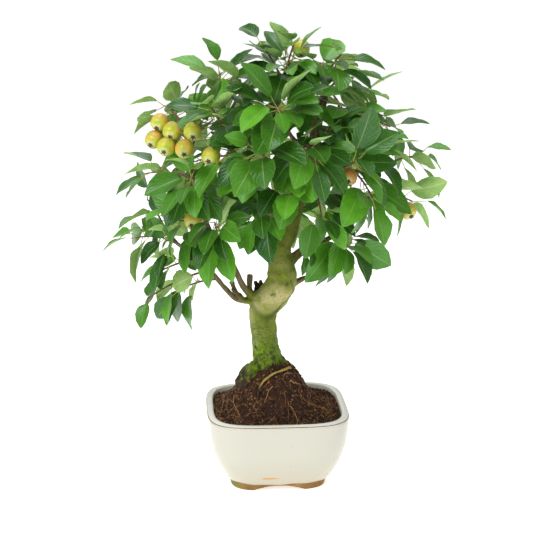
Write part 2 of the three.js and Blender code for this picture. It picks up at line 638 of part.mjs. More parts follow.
// Guard points cover each blade and stem. Two pieces are clear where their guards don't meet.
const BLADE_GUARD = 4.1;
const GUARD_ROWS = 8;
const GUARD_COLUMNS = [-0.8, -0.27, 0.27, 0.8];
const STEM_STEP = 4; // between a stem's guard points
const WOOD_CLEAR = 1.5;
const TWIG_CLEAR = 1.2;
const PETIOLE_CLEAR = 1.6;
const CALYX_REACH = 1.14; // of a fruit's whole length, in fruit radii
const guards = [];

/** Half width of a blade at a share of its length, smooth between the teeth. */
function bladeWidth(share) {
  return Math.sin(Math.PI * share ** 0.75) ** 0.8;
}

function guardOf(owner, points, stem) {
  const centre = points.reduce((sum, p) => sum.add(p.at), vec(0, 0, 0)).divideScalar(points.length);
  const reach = Math.max(...points.map((p) => p.at.distanceTo(centre) + p.radius));
  return { owner, points, stem, centre, reach };
}

function stemGuard(owner, stations, clear) {
  const curve = curveOf(stations);
  const steps = Math.ceil(curve.getLength() / STEM_STEP);
  const points = Array.from({ length: steps + 1 }, (_, i) => {
    const span = (i / steps) * (stations.length - 1);
    const k = Math.min(Math.floor(span), stations.length - 2);
    const thick = lerp(stations[k][3], stations[k + 1][3], span - k);
    return { at: curve.getPoint(i / steps), radius: thick + clear };
  });
  return guardOf(owner, points, true);
}

function bladeGuard(owner, leaf) {
  const points = [];
  for (let row = 1; row <= GUARD_ROWS; row += 1) {
    const share = (row - 0.3) / GUARD_ROWS;
    GUARD_COLUMNS.forEach((column) => {
      points.push({ at: onBlade(leaf, share, column * bladeWidth(share), 0), radius: BLADE_GUARD });
    });
  }
  return guardOf(owner, points, false);
}

function petioleGuard(owner, leaf) {
  const points = [0.3, 0.5, 0.7, 0.9].map((share) => ({
    at: leaf.root.clone().lerp(leaf.base, share),
    radius: PETIOLE_RADIUS + PETIOLE_CLEAR,
  }));
  return guardOf(owner, points, true);
}

function crossing(a, b) {
  if (a.owner === b.owner && a.stem && b.stem) return false;
  if (a.centre.distanceTo(b.centre) > a.reach + b.reach) return false;
  return a.points.some((p) => b.points.some((q) => p.at.distanceTo(q.at) < p.radius + q.radius));
}

/** Leaves of a shoot, each at the first of its tries that is clear of everything before it. */
function placeLeaves(shoot) {
  const leaves = [];
  for (let index = 0; index < shoot.leaves; index += 1) {
    for (let attempt = 0; attempt < LEAF_TRIES; attempt += 1) {
      const leaf = leafPlan(shoot, index, attempt);
      const own = [bladeGuard(shoot.name, leaf), petioleGuard(shoot.name, leaf)];
      if (!own.some((mine) => guards.some((other) => crossing(mine, other)))) {
        guards.push(...own);
        leaves.push(leaf);
        break;
      }
    }
  }
  return leaves;
}

// ---------------------------------------------------------------- fruits

/** One fruit with the dry calyx at its lower end, pointing along an axis. */
function fruitBody(centre, axis) {
  const r = FRUIT_RADIUS;
  const profile = [
    [0, -0.8], [0.62, -0.86], [1, -0.1], [0.8, 0.62], [0.24, 0.94], [0.26, CALYX_REACH], [0, 1.08],
  ];
  const lathe = new THREE.LatheGeometry(profile.map(([x, y]) => new THREE.Vector2(x * r, y * r)), 7);
  lathe.applyQuaternion(new THREE.Quaternion().setFromUnitVectors(vec(0, 1, 0), axis));
  lathe.translate(centre.x, centre.y, centre.z);
  return solid(lathe);
}

/** A group of fruits, each on its own stalk from the branch or from the end of the bunch's stem. */
function fruitGroupBody(group) {
  const bodies = [];
  let hub = footOn(group.from, group.at).point;
  if (group.stem) {
    hub = group.stem.curve.getPoint(1);
    bodies.push(limb(stationsOf(group.stem.curve, 3, TWIG_RADIUS, 1.6 * STALK_RADIUS), { sides: 4 }));
  }
  group.centres.forEach((place) => {
    const centre = vec(...place);
    const away = centre.clone().sub(hub).setZ(0).multiplyScalar(FRUIT_TILT);
    const axis = away.add(vec(0, 0, -1)).normalize();
    const head = centre.clone().addScaledVector(axis, -FRUIT_DIP * FRUIT_RADIUS);
    const control = head.clone().addScaledVector(axis, -STALK_ARCH * hub.distanceTo(head));
    const curve = new THREE.QuadraticBezierCurve3(hub, control, head);
    const stalk = stationsOf(curve, 4, STALK_RADIUS, STALK_RADIUS);
    group.guard.push(stemGuard(group.name, stalk, TWIG_CLEAR));
    group.guard.push(guardOf(group.name, [{ at: centre, radius: CALYX_REACH * FRUIT_RADIUS }], true));
    bodies.push(limb(stalk, { sides: 3 }), fruitBody(centre, axis));
  });
  return joined(bodies).subtract(branchBody(group.from, GAP));
}

// ---------------------------------------------------------------- the assembly

const finish = (color, roughness) => new THREE.MeshStandardMaterial({ color, roughness, metalness: 0 });

function mesh(name, geometry, color, roughness) {
  const piece = new THREE.Mesh(geometry, finish(color, roughness));
  piece.name = name;
  return piece;
}

const shoots = SHOOTS.map((shoot, number) => ({ ...shoot, number, stem: shootStem(shoot) }));
const fruits = FRUITS.map((group) => ({ ...group, stem: fruitStem(group), guard: [] }));

const wood = joined([
  ...Object.keys(BRANCHES).map((name) => branchBody(name)),
  ...Object.values(STUBS).map((path) => limb(path)),
  ...Object.values(ROOTS).map((path) => limb(path)),
]);
const rootHoles = [
  limb(TRUNK.slice(0, 6), { ...TRUNK_SHAPE, grow: GAP }),
  ...Object.values(ROOTS).map((path) => limb(path, { grow: GAP })),
];

const tree = new THREE.Group();
tree.add(mesh('pot', potGeometry(), 0xe9e6da, 0.25));
const drainageMesh = mesh('drainage_mesh', meshGeometry(), 0x2f3a33, 0.6);
drainageMesh.position.z = FLOOR_Z + GAP + MESH_THICK / 2;
tree.add(drainageMesh);
tree.add(mesh('soil', soilGeometry(rootHoles), 0x3d2619, 0.95));
tree.add(mesh('trunk', geometryOf(wood), 0x8a8a54, 0.8));

const fruitBodies = fruits.map((group) => fruitGroupBody(group));
fruits.forEach((group, i) => tree.add(mesh(group.name, geometryOf(fruitBodies[i]), 0xa8b23c, 0.35)));

Object.entries({ ...BRANCHES, ...STUBS }).forEach(([name, path]) => {
  guards.push(stemGuard(name, path, WOOD_CLEAR));
});
fruits.forEach(({ guard }) => guards.push(...guard));
[...shoots, ...fruits].filter(({ stem }) => stem).forEach(({ name, stem }) => {
  guards.push(stemGuard(name, stationsOf(stem.curve, 4, TWIG_RADIUS, TWIG_RADIUS), TWIG_CLEAR));
});

shoots.forEach((shoot) => {
  const twig = limb(stationsOf(shoot.stem.curve, 3, TWIG_RADIUS, TWIG_TIP_RADIUS), { sides: 4 });
  const clear = twig.subtract(branchBody(shoot.from, GAP));
  const body = joined([clear, ...placeLeaves(shoot).map((leaf) => leafBody(leaf))]);
  tree.add(mesh(`shoot_${shoot.name}`, geometryOf(body), 0x3c7a34, 0.45));
});

export default tree;
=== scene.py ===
"""Looks of a crabapple bonsai in a glazed pot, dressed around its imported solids.

Sizes are millimetres, and places are in the frame of the solids: the origin is on the ground
under the middle of the pot, +Z is up and -Y is the front of the tree.
"""
import logging
import math
from dataclasses import dataclass, field
from enum import Enum
from typing import Any, Callable, Iterable

import bmesh
import bpy
import numpy as np
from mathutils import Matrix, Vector, noise


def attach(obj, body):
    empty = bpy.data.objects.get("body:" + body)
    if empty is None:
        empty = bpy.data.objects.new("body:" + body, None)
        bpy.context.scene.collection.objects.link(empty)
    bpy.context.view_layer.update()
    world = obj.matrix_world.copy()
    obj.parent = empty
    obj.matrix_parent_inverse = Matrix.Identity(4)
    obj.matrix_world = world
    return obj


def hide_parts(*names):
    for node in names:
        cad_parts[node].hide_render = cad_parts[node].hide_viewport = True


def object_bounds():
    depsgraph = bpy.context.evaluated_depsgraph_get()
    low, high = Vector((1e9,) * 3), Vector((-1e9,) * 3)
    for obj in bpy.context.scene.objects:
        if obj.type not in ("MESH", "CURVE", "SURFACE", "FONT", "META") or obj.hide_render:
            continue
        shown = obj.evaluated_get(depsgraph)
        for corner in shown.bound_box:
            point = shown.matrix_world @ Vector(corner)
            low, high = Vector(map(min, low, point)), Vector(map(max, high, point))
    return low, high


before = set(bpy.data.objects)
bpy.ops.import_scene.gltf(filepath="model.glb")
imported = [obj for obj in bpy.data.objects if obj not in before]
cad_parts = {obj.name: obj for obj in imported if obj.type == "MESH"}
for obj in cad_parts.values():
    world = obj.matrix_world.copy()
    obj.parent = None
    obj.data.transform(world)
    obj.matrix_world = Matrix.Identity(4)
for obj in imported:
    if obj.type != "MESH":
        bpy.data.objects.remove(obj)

log = logging.getLogger("bonsai")

MM = 0.001
BODY = "root"
CAD_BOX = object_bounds()
UP = np.array([0.0, 0.0, 1.0])
TO_FRONT = np.array([0.0, 1.0, 0.0])

Station = tuple[float, float, float, float]
Triple = tuple[float, float, float]
Pair = tuple[float, float]
Array = np.ndarray
Material = bpy.types.Material
NodeTree = bpy.types.NodeTree

# ---- places of the grown wood

# Places along a stem, each (x, y, z, radius).
TRUNK: list[Station] = [
    (-9, 0, 66, 38), (-9, 0, 116, 47), (-9, 0, 138, 47), (-8, 0, 150, 39.5), (-8, 0, 158, 33),
    (-11, 0, 164, 27), (-12, 0, 172, 21.4), (-16, 0, 192, 19), (-18, 0, 214, 18),
    (-20, 0, 234, 19), (-16, -3, 252, 21), (-4, -7, 267, 21.5), (6, -7, 283, 20.5),
    (7, -5, 299, 20), (5, -3, 318, 17), (6, 0, 336, 15), (14, 0, 351, 14.5), (23, 0, 383, 13),
    (28, 0, 400, 12), (40, 0, 430, 10.5), (50, 0, 468, 9), (54, 0, 499, 7.5), (62, 0, 529, 6),
    (66, 0, 551, 4.5), (60, 0, 572, 3.2),
]

BRANCHES: dict[str, list[Station]] = {
    "trunk": TRUNK,
    "low_left": [(-28, 0, 256, 5.5), (-54, -2, 259, 4.4), (-72, -4, 276, 3.7), (-93, -8, 303, 3.4),
                 (-116, -10, 325, 3), (-139, -10, 343, 2.7), (-155, -5, 349, 2.3)],
    "mid_left": [(-28, 0, 258, 6.5), (-46, -4, 277, 4.6), (-62, -10, 312, 4), (-80, -20, 338, 3.6),
                 (-98, -35, 377, 3.2), (-111, -45, 416, 2.9), (-119, -45, 456, 2.6),
                 (-124, -30, 505, 2.2)],
    "top_left": [(14, 0, 358, 8), (-12, -20, 388, 5.4), (-46, -45, 432, 4.4),
                 (-66, -50, 488, 3.6), (-74, -30, 540, 2.6)],
    "low_right": [(10, 0, 306, 9), (46, 12, 331, 4.8), (72, 12, 340, 4), (102, 8, 362, 3.4),
                  (118, 0, 386, 3), (142, -8, 408, 2.4)],
    "mid_right": [(30, 0, 398, 8), (72, -8, 421, 4.4), (113, -12, 442, 3.4), (152, -5, 448, 2.4)],
    "front": [(20, 0, 372, 8), (4, -45, 395, 4.4), (-6, -85, 430, 3.2), (-16, -104, 468, 2.3)],
    "front_high": [(46, 0, 452, 7), (34, -42, 470, 4), (12, -78, 500, 3), (-2, -92, 526, 2.3)],
    "front_right": [(38, 0, 424, 7), (58, -42, 436, 4), (78, -74, 450, 2.6)],
    "back_left": [(22, 0, 384, 8), (-18, 45, 412, 4.8), (-52, 84, 448, 3.8), (-70, 96, 480, 2.6)],
    "back_right": [(36, 0, 420, 7), (62, 52, 446, 4.4), (90, 88, 476, 3.4), (96, 92, 520, 2.4)],
    "back_low": [(8, 0, 336, 8), (-4, 52, 356, 4.6), (-26, 96, 374, 2.8)],
    "top_mid": [(55, 0, 498, 5), (28, -6, 530, 3.4), (6, -8, 566, 2.4)],
    "high_right": [(53, 0, 484, 6), (88, 6, 500, 3.6), (118, 14, 508, 2.5)],
}

# Short dead wood: cut stubs, a gnarled spur and broken jags.
STUBS: dict[str, list[Station]] = {
    "cut_stub_right": [(10, 2, 272, 8), (40, 8, 286, 3.2), (62, 12, 293, 3.4)],
    "cut_stub_up": [(-34, 2, 254, 6), (-37, 5, 275, 4), (-36, 6, 293, 4.6)],
    "gnarled_spur": [(-38, -6, 256, 4.2), (-46, -9, 261, 3.0), (-52, -11, 266, 4.6),
                     (-56, -12, 271, 2.8), (-60, -12, 276, 4.5), (-61, -11, 281, 2.6),
                     (-63, -12, 287, 4.2)],
    "broken_jag_left": [(-26, 6, 258, 7), (-26, 10, 270, 5), (-29, 12, 282, 1.6)],
    "broken_jag_right": [(-14, 6, 264, 9), (-20, 12, 272, 5), (-21, 13, 284, 1.6)],
    "side_spur": [(12, 3, 300, 6), (27, 5, 312, 2.8), (30, 6, 326, 2)],
}

# Roots leave the foot of the trunk, run over the mound and dive into the soil.
ROOTS: dict[str, list[Station]] = {
    "arching_root": [(18, -6, 156, 3.4), (17, -18, 163, 2.2), (9, -27, 163, 2.0),
                     (-5, -34, 160.5, 1.9), (-14, -38, 156, 1.9), (-22, -41, 150, 1.8),
                     (-27, -45, 141, 1.8), (-30, -50, 126, 1.6)],
    "mossy_shoulder": [(-18, -2, 166, 12), (-31, -5, 156, 14), (-39, -8, 146, 16),
                       (-43, -9, 128, 15), (-44, -8, 108, 9)],
}


@dataclass(frozen=True)
class Shoot:
    """A leafy shoot: the branch it grows from, where along it, its tip and its leaves."""

    name: str
    branch: str
    at: float
    tip: Triple
    leaves: int
    size: float


SHOOTS: list[Shoot] = [Shoot(*row) for row in (
    ("leader", "trunk", 1, (58, -4, 582), 7, 1),
    ("crown_left", "top_mid", 1, (18, -20, 592), 6, 0.95),
    ("crown_back", "top_mid", 0.7, (12, 46, 574), 5, 1),
    ("crown_right", "trunk", 0.95, (94, 12, 566), 5, 1),
    ("high_left", "top_left", 1, (-78, -6, 576), 6, 1),
    ("high_mid_left", "top_left", 0.88, (-36, -34, 566), 5, 0.95),
    ("high_front", "top_mid", 0.45, (16, -62, 552), 5, 1),
    ("far_left_high", "mid_left", 1, (-152, 0, 530), 6, 0.95),
    ("left_front_high", "top_left", 0.74, (-92, -78, 538), 5, 1.05),
    ("right_high_front", "high_right", 0.4, (84, -38, 532), 5, 1.1),
    ("right_high", "high_right", 1, (156, 4, 498), 5, 0.95),
    ("right_high_back", "high_right", 0.75, (124, 56, 526), 5, 1),
    ("front_high", "front_high", 1, (-8, -112, 540), 5, 1.1),
    ("front_mid", "front_high", 0.6, (40, -114, 478), 6, 1.1),
    ("front_mid_right", "front_high", 0.4, (66, -74, 508), 4, 1.05),
    ("front_left", "front", 1, (-34, -118, 484), 5, 1.05),
    ("front_inner_left", "top_left", 0.6, (-72, -106, 482), 5, 1.1),
    ("fruit_spur_left", "mid_left", 0.88, (-104, -40, 512), 4, 0.9),
    ("left_mid", "mid_left", 0.8, (-180, -14, 440), 6, 1.05),
    ("left_mid_front", "mid_left", 0.72, (-118, -92, 448), 6, 1.05),
    ("left_far", "low_left", 0.9, (-178, 24, 398), 5, 1),
    ("left_low", "low_left", 1, (-194, -8, 350), 6, 0.9),
    ("left_low_front", "mid_left", 0.5, (-140, -62, 386), 5, 1),
    ("left_low_mid", "mid_left", 0.44, (-88, -92, 388), 5, 1.05),
    ("left_hanging", "low_left", 0.42, (-138, -14, 276), 6, 0.95),
    ("front_low", "front", 0.45, (-30, -92, 402), 5, 1.1),
    ("front_low_right", "front", 0.66, (16, -116, 432), 4, 1.1),
    ("right_low_inner", "front_right", 0.25, (56, -66, 386), 4, 1.05),
    ("right_low", "low_right", 0.5, (98, -10, 334), 5, 1.1),
    ("right_mid_front", "front_right", 1, (96, -100, 466), 5, 1.1),
    ("right_mid", "mid_right", 0.8, (132, -48, 478), 5, 1.05),
    ("right_low_front", "mid_right", 0.6, (122, -76, 414), 5, 1.1),
    ("right_far", "mid_right", 1, (202, 2, 458), 6, 0.95),
    ("right_far_low", "low_right", 1, (186, -18, 398), 5, 1),
    ("back_low_left", "back_low", 1, (-56, 116, 388), 4, 1.05),
    ("back_low_right", "back_low", 0.5, (34, 104, 372), 4, 1.05),
    ("back_left", "back_left", 1, (-88, 112, 492), 4, 1.05),
    ("back_far_left", "back_left", 0.66, (-116, 84, 438), 4, 1.05),
    ("back_mid_left", "back_left", 0.8, (-30, 122, 470), 4, 1.05),
    ("back_mid_right", "back_right", 0.45, (48, 118, 446), 4, 1.05),
    ("back_right", "back_right", 0.66, (124, 98, 472), 4, 1.05),
    ("back_high_right", "back_right", 1, (72, 88, 548), 4, 1),
    ("back_low_far_right", "low_right", 0.62, (122, 70, 396), 4, 1.05),
)]

# Thin sprays that hang free below the crown, beside those that the solids have.
SPRAYS: list[Shoot] = [Shoot(*row) for row in (
    ("spray_by_trunk", "low_right", 0.4, (36, -26, 344), 4, 0.8),
    ("spray_low_left", "low_left", 0.62, (-172, -22, 300), 5, 0.9),
    ("spray_top_front", "top_mid", 0.95, (22, -24, 616), 6, 0.95),
    ("spray_top_left", "top_mid", 1, (-22, -12, 612), 5, 1),
    ("spray_top_right", "trunk", 0.98, (84, -26, 600), 5, 0.95),
    ("spray_left_edge", "low_left", 0.8, (-172, 2, 372), 5, 0.95),
    ("spray_left_front", "low_left", 0.75, (-152, -58, 356), 5, 0.95),
    ("spray_low_end", "low_left", 0.5, (-180, -28, 268), 5, 1.0),
    ("spray_by_bunch", "mid_left", 0.92, (-114, -22, 526), 5, 0.95),
)]


class Ripeness(Enum):
    """How far a group of fruits has turned from green, as a share of orange blush."""

    GREEN = -0.1
    TURNING = 0.5
    BLUSHED = 0.9


@dataclass(frozen=True)
class FruitGroup:
    """Fruits that hang from one place on a branch, by the centre of each."""

    name: str
    branch: str
    at: float
    centres: tuple[Triple, ...]
    ripeness: Ripeness = Ripeness.TURNING


FRUITS: list[FruitGroup] = [FruitGroup(*row) for row in (
    ("bunch_left", "mid_left", 0.96, (
        (-158, -36, 512), (-142, -50, 502), (-115, -64, 503), (-166, -42, 490),
        (-150, -60, 483), (-126, -68, 481))),
    ("left_front", "top_left", 0.68, ((-92, -88, 474),)),
    ("left_green", "top_left", 0.52, ((-62, -88, 440),), Ripeness.GREEN),
    ("left_hidden", "mid_left", 0.6, ((-116, -80, 388),)),
    ("low_left", "mid_left", 0.3, ((-88, -58, 342),)),
    ("low_mid", "top_left", 0.36, ((-48, -66, 368),), Ripeness.BLUSHED),
    ("top", "top_mid", 0.85, ((34, 14, 604),)),
    ("right_orange", "mid_right", 0.5, ((90, -70, 442),), Ripeness.BLUSHED),
    ("far_right", "low_right", 0.9, ((182, -4, 382),)),
    ("pair_back", "back_left", 0.5, ((-64, 126, 426), (-38, 130, 416))),
)]

# ---- small helpers


def linear(colour: str) -> tuple[float, float, float, float]:
    """Turns an sRGB hex colour to linear red, green, blue and a full alpha."""
    parts = [int(colour[i:i + 2], 16) / 255 for i in (1, 3, 5)]
    red, green, blue = (c / 12.92 if c <= 0.04045 else ((c + 0.055) / 1.055) ** 2.4 for c in parts)
    return red, green, blue, 1.0


def seeded(seed: int) -> Callable[[], float]:
    """Numbers from 0 to 1 by the seeded rule that the solids' leaves are drawn with.

    Args:
        seed: Any whole number.

    Returns:
        A function that gives the next number.
    """
    mask = 0xFFFFFFFF
    state = seed & mask

    def draw() -> float:
        """The next number."""
        nonlocal state
        state = (state + 0x6D2B79F5) & mask
        t = ((state ^ (state >> 15)) * (1 | state)) & mask
        t = ((t + (((t ^ (t >> 7)) * (61 | t)) & mask)) & mask) ^ t
        return ((t ^ (t >> 14)) & mask) / 4294967296

    return draw


def unit(v: Array) -> Array:
    """A vector, or each row of several, at length one."""
    return v / np.maximum(np.linalg.norm(v, axis=-1, keepdims=True), 1e-12)


def lerp(low: float, high: float, share: float) -> float:
    """A value between two others."""
    return low + (high - low) * share


def smooth_step(low: float, high: float, value: Array) -> Array:
    """Goes smoothly from 0 at low to 1 at high."""
    t = np.clip((value - low) / (high - low), 0, 1)
    return t * t * (3 - 2 * t)


def catmull(points: Array, share: float) -> Array:
    """A place on the smooth curve through points, at a share of its spans."""
    last = len(points) - 1
    k = min(int(share * last), last - 1)
    t = share * last - k
    before = points[k - 1] if k > 0 else 2 * points[0] - points[1]
    after = points[k + 2] if k + 2 <= last else 2 * points[last] - points[last - 1]
    a, b = points[k], points[k + 1]
    ta, tb = 0.5 * (b - before), 0.5 * (after - a)
    return a + ta * t + (3 * b - 3 * a - 2 * ta - tb) * t * t + (2 * a - 2 * b + ta + tb) * t ** 3


def curve(points: Array, count: int) -> Array:
    """Rows of places on the smooth curve through points."""
    return np.array([catmull(points, share) for share in np.linspace(0, 1, count)])


def bezier(a: Array, b: Array, c: Array, t: float) -> Array:
    """A place on the quadratic curve from a to c, drawn towards b."""
    return (1 - t) ** 2 * a + 2 * t * (1 - t) * b + t * t * c


def bent(points: Iterable, radii: Pair, count: int) -> Array:
    """A tube's path along a quadratic curve, as rows of place and radius."""
    return np.array([[*bezier(*points, t), lerp(*radii, t)] for t in np.linspace(0, 1, count)])


def square_to(tangent: Array) -> tuple[Array, Array]:
    """The two directions square to a tangent: one level, one above it."""
    level = UP if abs(tangent[2]) < 0.9 else np.array([1.0, 0, 0])
    u = unit(np.cross(tangent, level))
    return u, unit(np.cross(tangent, u))


def noise_at(points: Array, size: float, seed: float = 0.0, octaves: int = 3) -> Array:
    """Smooth noise of about -1 to 1 at each place.

    Args:
        points: Rows of places in millimetres.
        size: The width of the largest lumps in millimetres.
        seed: Shifts the pattern.
        octaves: How many finer layers are added.

    Returns:
        One value for each row.
    """
    shifted = points / size + seed
    return np.array([noise.fractal(Vector(p), 0.9, 2.1, octaves) for p in shifted])


def in_scene(name: str, data: Any) -> Any:
    """A new object in the scene that shows some data."""
    made = bpy.data.objects.new(name, data)
    bpy.context.scene.collection.objects.link(made)
    return made


def mesh_object(name: str, points: Array, faces: Iterable, edges: Iterable = ()) -> Any:
    """An object in the scene from places in millimetres.

    Args:
        name: The object's name.
        points: Rows of places.
        faces: Rows of point numbers.
        edges: Pairs of point numbers, where there are no faces.

    Returns:
        The object, at the origin.
    """
    mesh = bpy.data.meshes.new(name)
    mesh.from_pydata((np.asarray(points) * MM).tolist(), list(edges), list(faces), shade_flat=False)
    mesh.update()
    return in_scene(name, mesh)


def ring_faces(rings: int, sides: int, closed: bool = False) -> list[list[int]]:
    """Rows of faces between successive rings of points.

    Args:
        rings: How many rings there are.
        sides: How many points each ring has.
        closed: Whether the last ring is joined to the first.

    Returns:
        The point numbers of each face.
    """
    first = np.arange(sides)
    after = np.roll(first, -1)
    faces = []
    for k in range(rings if closed else rings - 1):
        a, b = k * sides, (k + 1) % rings * sides
        faces += np.column_stack([a + first, a + after, b + after, b + first]).tolist()
    return faces


def store(target: Any, **named: Array) -> None:
    """Keeps a number or a vector for each point of an object's mesh, under each name."""
    for name, values in named.items():
        values = np.asarray(values, np.float32)
        kind, key = ("FLOAT_VECTOR", "vector") if values.ndim == 2 else ("FLOAT", "value")
        attribute = target.data.attributes.new(name, kind, "POINT")
        attribute.data.foreach_set(key, values.ravel())


def vectors_of(items: Any, key: str) -> Array:
    """A vector of each of a mesh's items, by the vector's name."""
    out = np.empty(len(items) * 3, np.float32)
    items.foreach_get(key, out)
    return out.reshape(-1, 3).astype(float)


def co_of(target: Any) -> Array:
    """The places of an object's points in millimetres."""
    return vectors_of(target.data.vertices, "co") / MM


def evaluated(source: Any) -> Any:
    """Turns what an object's modifiers make into its own plain mesh."""
    bpy.context.view_layer.update()
    graph = bpy.context.evaluated_depsgraph_get()
    result = bpy.data.meshes.new_from_object(source.evaluated_get(graph))
    source.modifiers.clear()
    old = source.data
    source.data = result
    bpy.data.meshes.remove(old)
    return source


def joined(name: str, parts: list) -> Any:
    """Joins objects to one, each with its materials kept."""
    bpy.ops.object.select_all(action="DESELECT")
    for part in parts:
        part.select_set(True)
    bpy.context.view_layer.objects.active = parts[0]
    bpy.ops.object.join()
    parts[0].name = name
    return parts[0]


def with_nodes(target: Any, tree: NodeTree, inputs: dict[str, Any]) -> Any:
    """Runs a Geometry Nodes tree on an object and keeps its result as a plain mesh.

    Args:
        target: The object.
        tree: The tree.
        inputs: A value for each named input of the tree.

    Returns:
        The same object, with no modifier left.
    """
    modifier = target.modifiers.new(tree.name, "NODES")
    modifier.node_group = tree
    sockets = {s.name: s.identifier for s in tree.interface.items_tree if s.in_out == "INPUT"}
    for name, value in inputs.items():
        modifier[sockets[name]] = value
    return evaluated(target)


class Graph:
    """A node tree under construction, with the values that are known in it by their names."""

    # Beginnings of type names, in the order that they are tried in.
    FAMILIES = ("GeometryNode", "FunctionNode", "ShaderNode", "Node")
    # The inputs that a sum fills, where they aren't its first ones.
    SLOTS = {"VectorMath SCALE": (0, "Scale"), "VectorRotate": ("Vector", "Axis", "Angle")}

    def __init__(self, tree: NodeTree) -> None:
        """Starts with a tree."""
        self.tree = tree
        self.given: dict[str, Any] = {}

    def put(self, made: Any, links: dict) -> None:
        """Sets and links inputs of a node.

        Args:
            made: The node.
            links: For each input, by name or number, a socket, a node, the name of a known value,
                an sRGB hex value or another plain value.
        """
        for key, value in links.items():
            if isinstance(value, str):
                value = linear(value) if value.startswith("#") else self.given.get(value, value)
            if isinstance(value, bpy.types.Node):
                value = next(socket for socket in value.outputs if socket.enabled)
            if isinstance(value, bpy.types.NodeSocket):
                self.tree.links.new(value, made.inputs[key])
            else:
                made.inputs[key].default_value = value

    def add(self, kind: str, links: dict | None = None, **settings: Any) -> Any:
        """Adds a node with its settings and links.

        Args:
            kind: The node's type name, without its family.
            links: The node's inputs, as put takes them.
            settings: Properties of the node itself.

        Returns:
            The node that was added.
        """
        family = next(name for name in self.FAMILIES if hasattr(bpy.types, name + kind))
        made = self.tree.nodes.new(family + kind)
        for name, value in settings.items():
            setattr(made, name, value)
        self.put(made, links or {})
        return made

    def work_out(self, *sums: tuple) -> None:
        """Works out values that are then known by their names.

        Args:
            sums: For each, the names of its results with spaces between, the node's kind and
                operation, and what goes into it.
        """
        for names, kind, *terms in sums:
            links = dict(zip(self.SLOTS.get(kind, range(3)), terms))
            kind, _, operation = kind.partition(" ")
            made = self.add(kind, links, **({"operation": operation} if operation else {}))
            self.given |= zip(names.split(), (s for s in made.outputs if s.enabled))


class Shaper(Graph):
    """A Geometry Nodes tree under construction."""

    def __init__(self, name: str, reads: dict[str, str], **inputs: str) -> None:
        """Starts a tree.

        Args:
            name: Its name.
            reads: The data type of each point attribute that it reads.
            inputs: The socket type of each input after the geometry.
        """
        super().__init__(bpy.data.node_groups.new(name, "GeometryNodeTree"))
        for way, sockets in (("INPUT", {"Geometry": "Geometry", **inputs}),
                             ("OUTPUT", {"Geometry": "Geometry"})):
            for key, kind in sockets.items():
                self.tree.interface.new_socket(key, in_out=way, socket_type=f"NodeSocket{kind}")
        self.given |= self.add("GroupInput").outputs.items()
        for key, kind in reads.items():
            self.given[key] = self.add("InputNamedAttribute", {"Name": key}, data_type=kind)

    def finish(self, shape: Any, **materials: Any) -> NodeTree:
        """Ends the tree with plain and smooth faces that have their materials.

        Args:
            shape: The node that makes the shape.
            materials: For each input of a material, the faces that it covers, or True for all.

        Returns:
            The finished tree.
        """
        plain = self.add("RealizeInstances", {"Geometry": shape})
        done = self.add("SetShadeSmooth", {"Geometry": plain})
        for key, covered in materials.items():
            done = self.add("SetMaterial", {
                "Geometry": done, "Selection": covered, "Material": key})
        self.add("GroupOutput", {"Geometry": done})
        return self.tree


def finish_piece(piece: Any, slot: str, *replaced: str) -> None:
    """Ties a finished piece to the frame.

    Args:
        piece: The object.
        slot: Not used; it names the record's material slot for the piece.
        replaced: The solids that it stands for.
    """
    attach(piece, BODY)
    if replaced:
        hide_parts(*replaced)
    log.info("%s: %d faces", piece.name, len(piece.data.polygons))


# ---- finishes


class Surface(Graph):
    """A material under construction: what it reads, and how its colours are laid."""

    def __init__(self, name: str, reads: Iterable[str] = (), **clouds: Triple) -> None:
        """Starts a material.

        Args:
            name: The real material and how its surface was made.
            reads: The point attributes that it reads.
            clouds: For each cloudy pattern, the width of its largest clouds in millimetres, how
                many finer layers it has, and how strong those are.
        """
        self.material = bpy.data.materials.new(name)
        self.material.use_nodes = True
        super().__init__(self.material.node_tree)
        self.given["place"] = self.add("TexCoord").outputs["Object"]
        for key in reads:
            self.given[key] = self.add("Attribute", attribute_name=key).outputs["Fac"]
        for key, (size, detail, rough) in clouds.items():
            self.given[key] = self.add("TexNoise", {
                "Vector": "place", "Scale": 1 / (size * MM), "Detail": detail,
                "Roughness": rough})

    def paint(self, base: Any, *layers: tuple) -> Any:
        """Lays colours over each other, each as far as a pattern asks.

        Args:
            base: The undermost colour.
            layers: For each, a pattern, its value where the colour starts and where there is
                most of it, how much that is, and the colour.

        Returns:
            The node of the last layer.
        """
        for pattern, low, high, most, colour in layers:
            share = self.add("MapRange", {0: pattern, 1: low, 2: high, 4: most})
            base = self.add("MixRGB", {0: share, 1: base, 2: colour})
        return base

    def finish(self, colour: Any, relief: tuple | None, **inputs: Any) -> Material:
        """Gives the shader its colour, its relief and its other inputs.

        Args:
            colour: The colour's node.
            relief: A height pattern, how strongly it shows and its depth in millimetres.
            inputs: The shader's other inputs, with _ for the spaces in their names.

        Returns:
            The finished material.
        """
        links = {key.replace("_", " "): value for key, value in inputs.items()}
        if relief:
            height, strength, depth = relief
            links["Normal"] = self.add("Bump", {
                "Height": height, "Strength": strength, "Distance": depth * MM})
        self.put(self.tree.nodes["Principled BSDF"], {"Base Color": colour, **links})
        return self.material


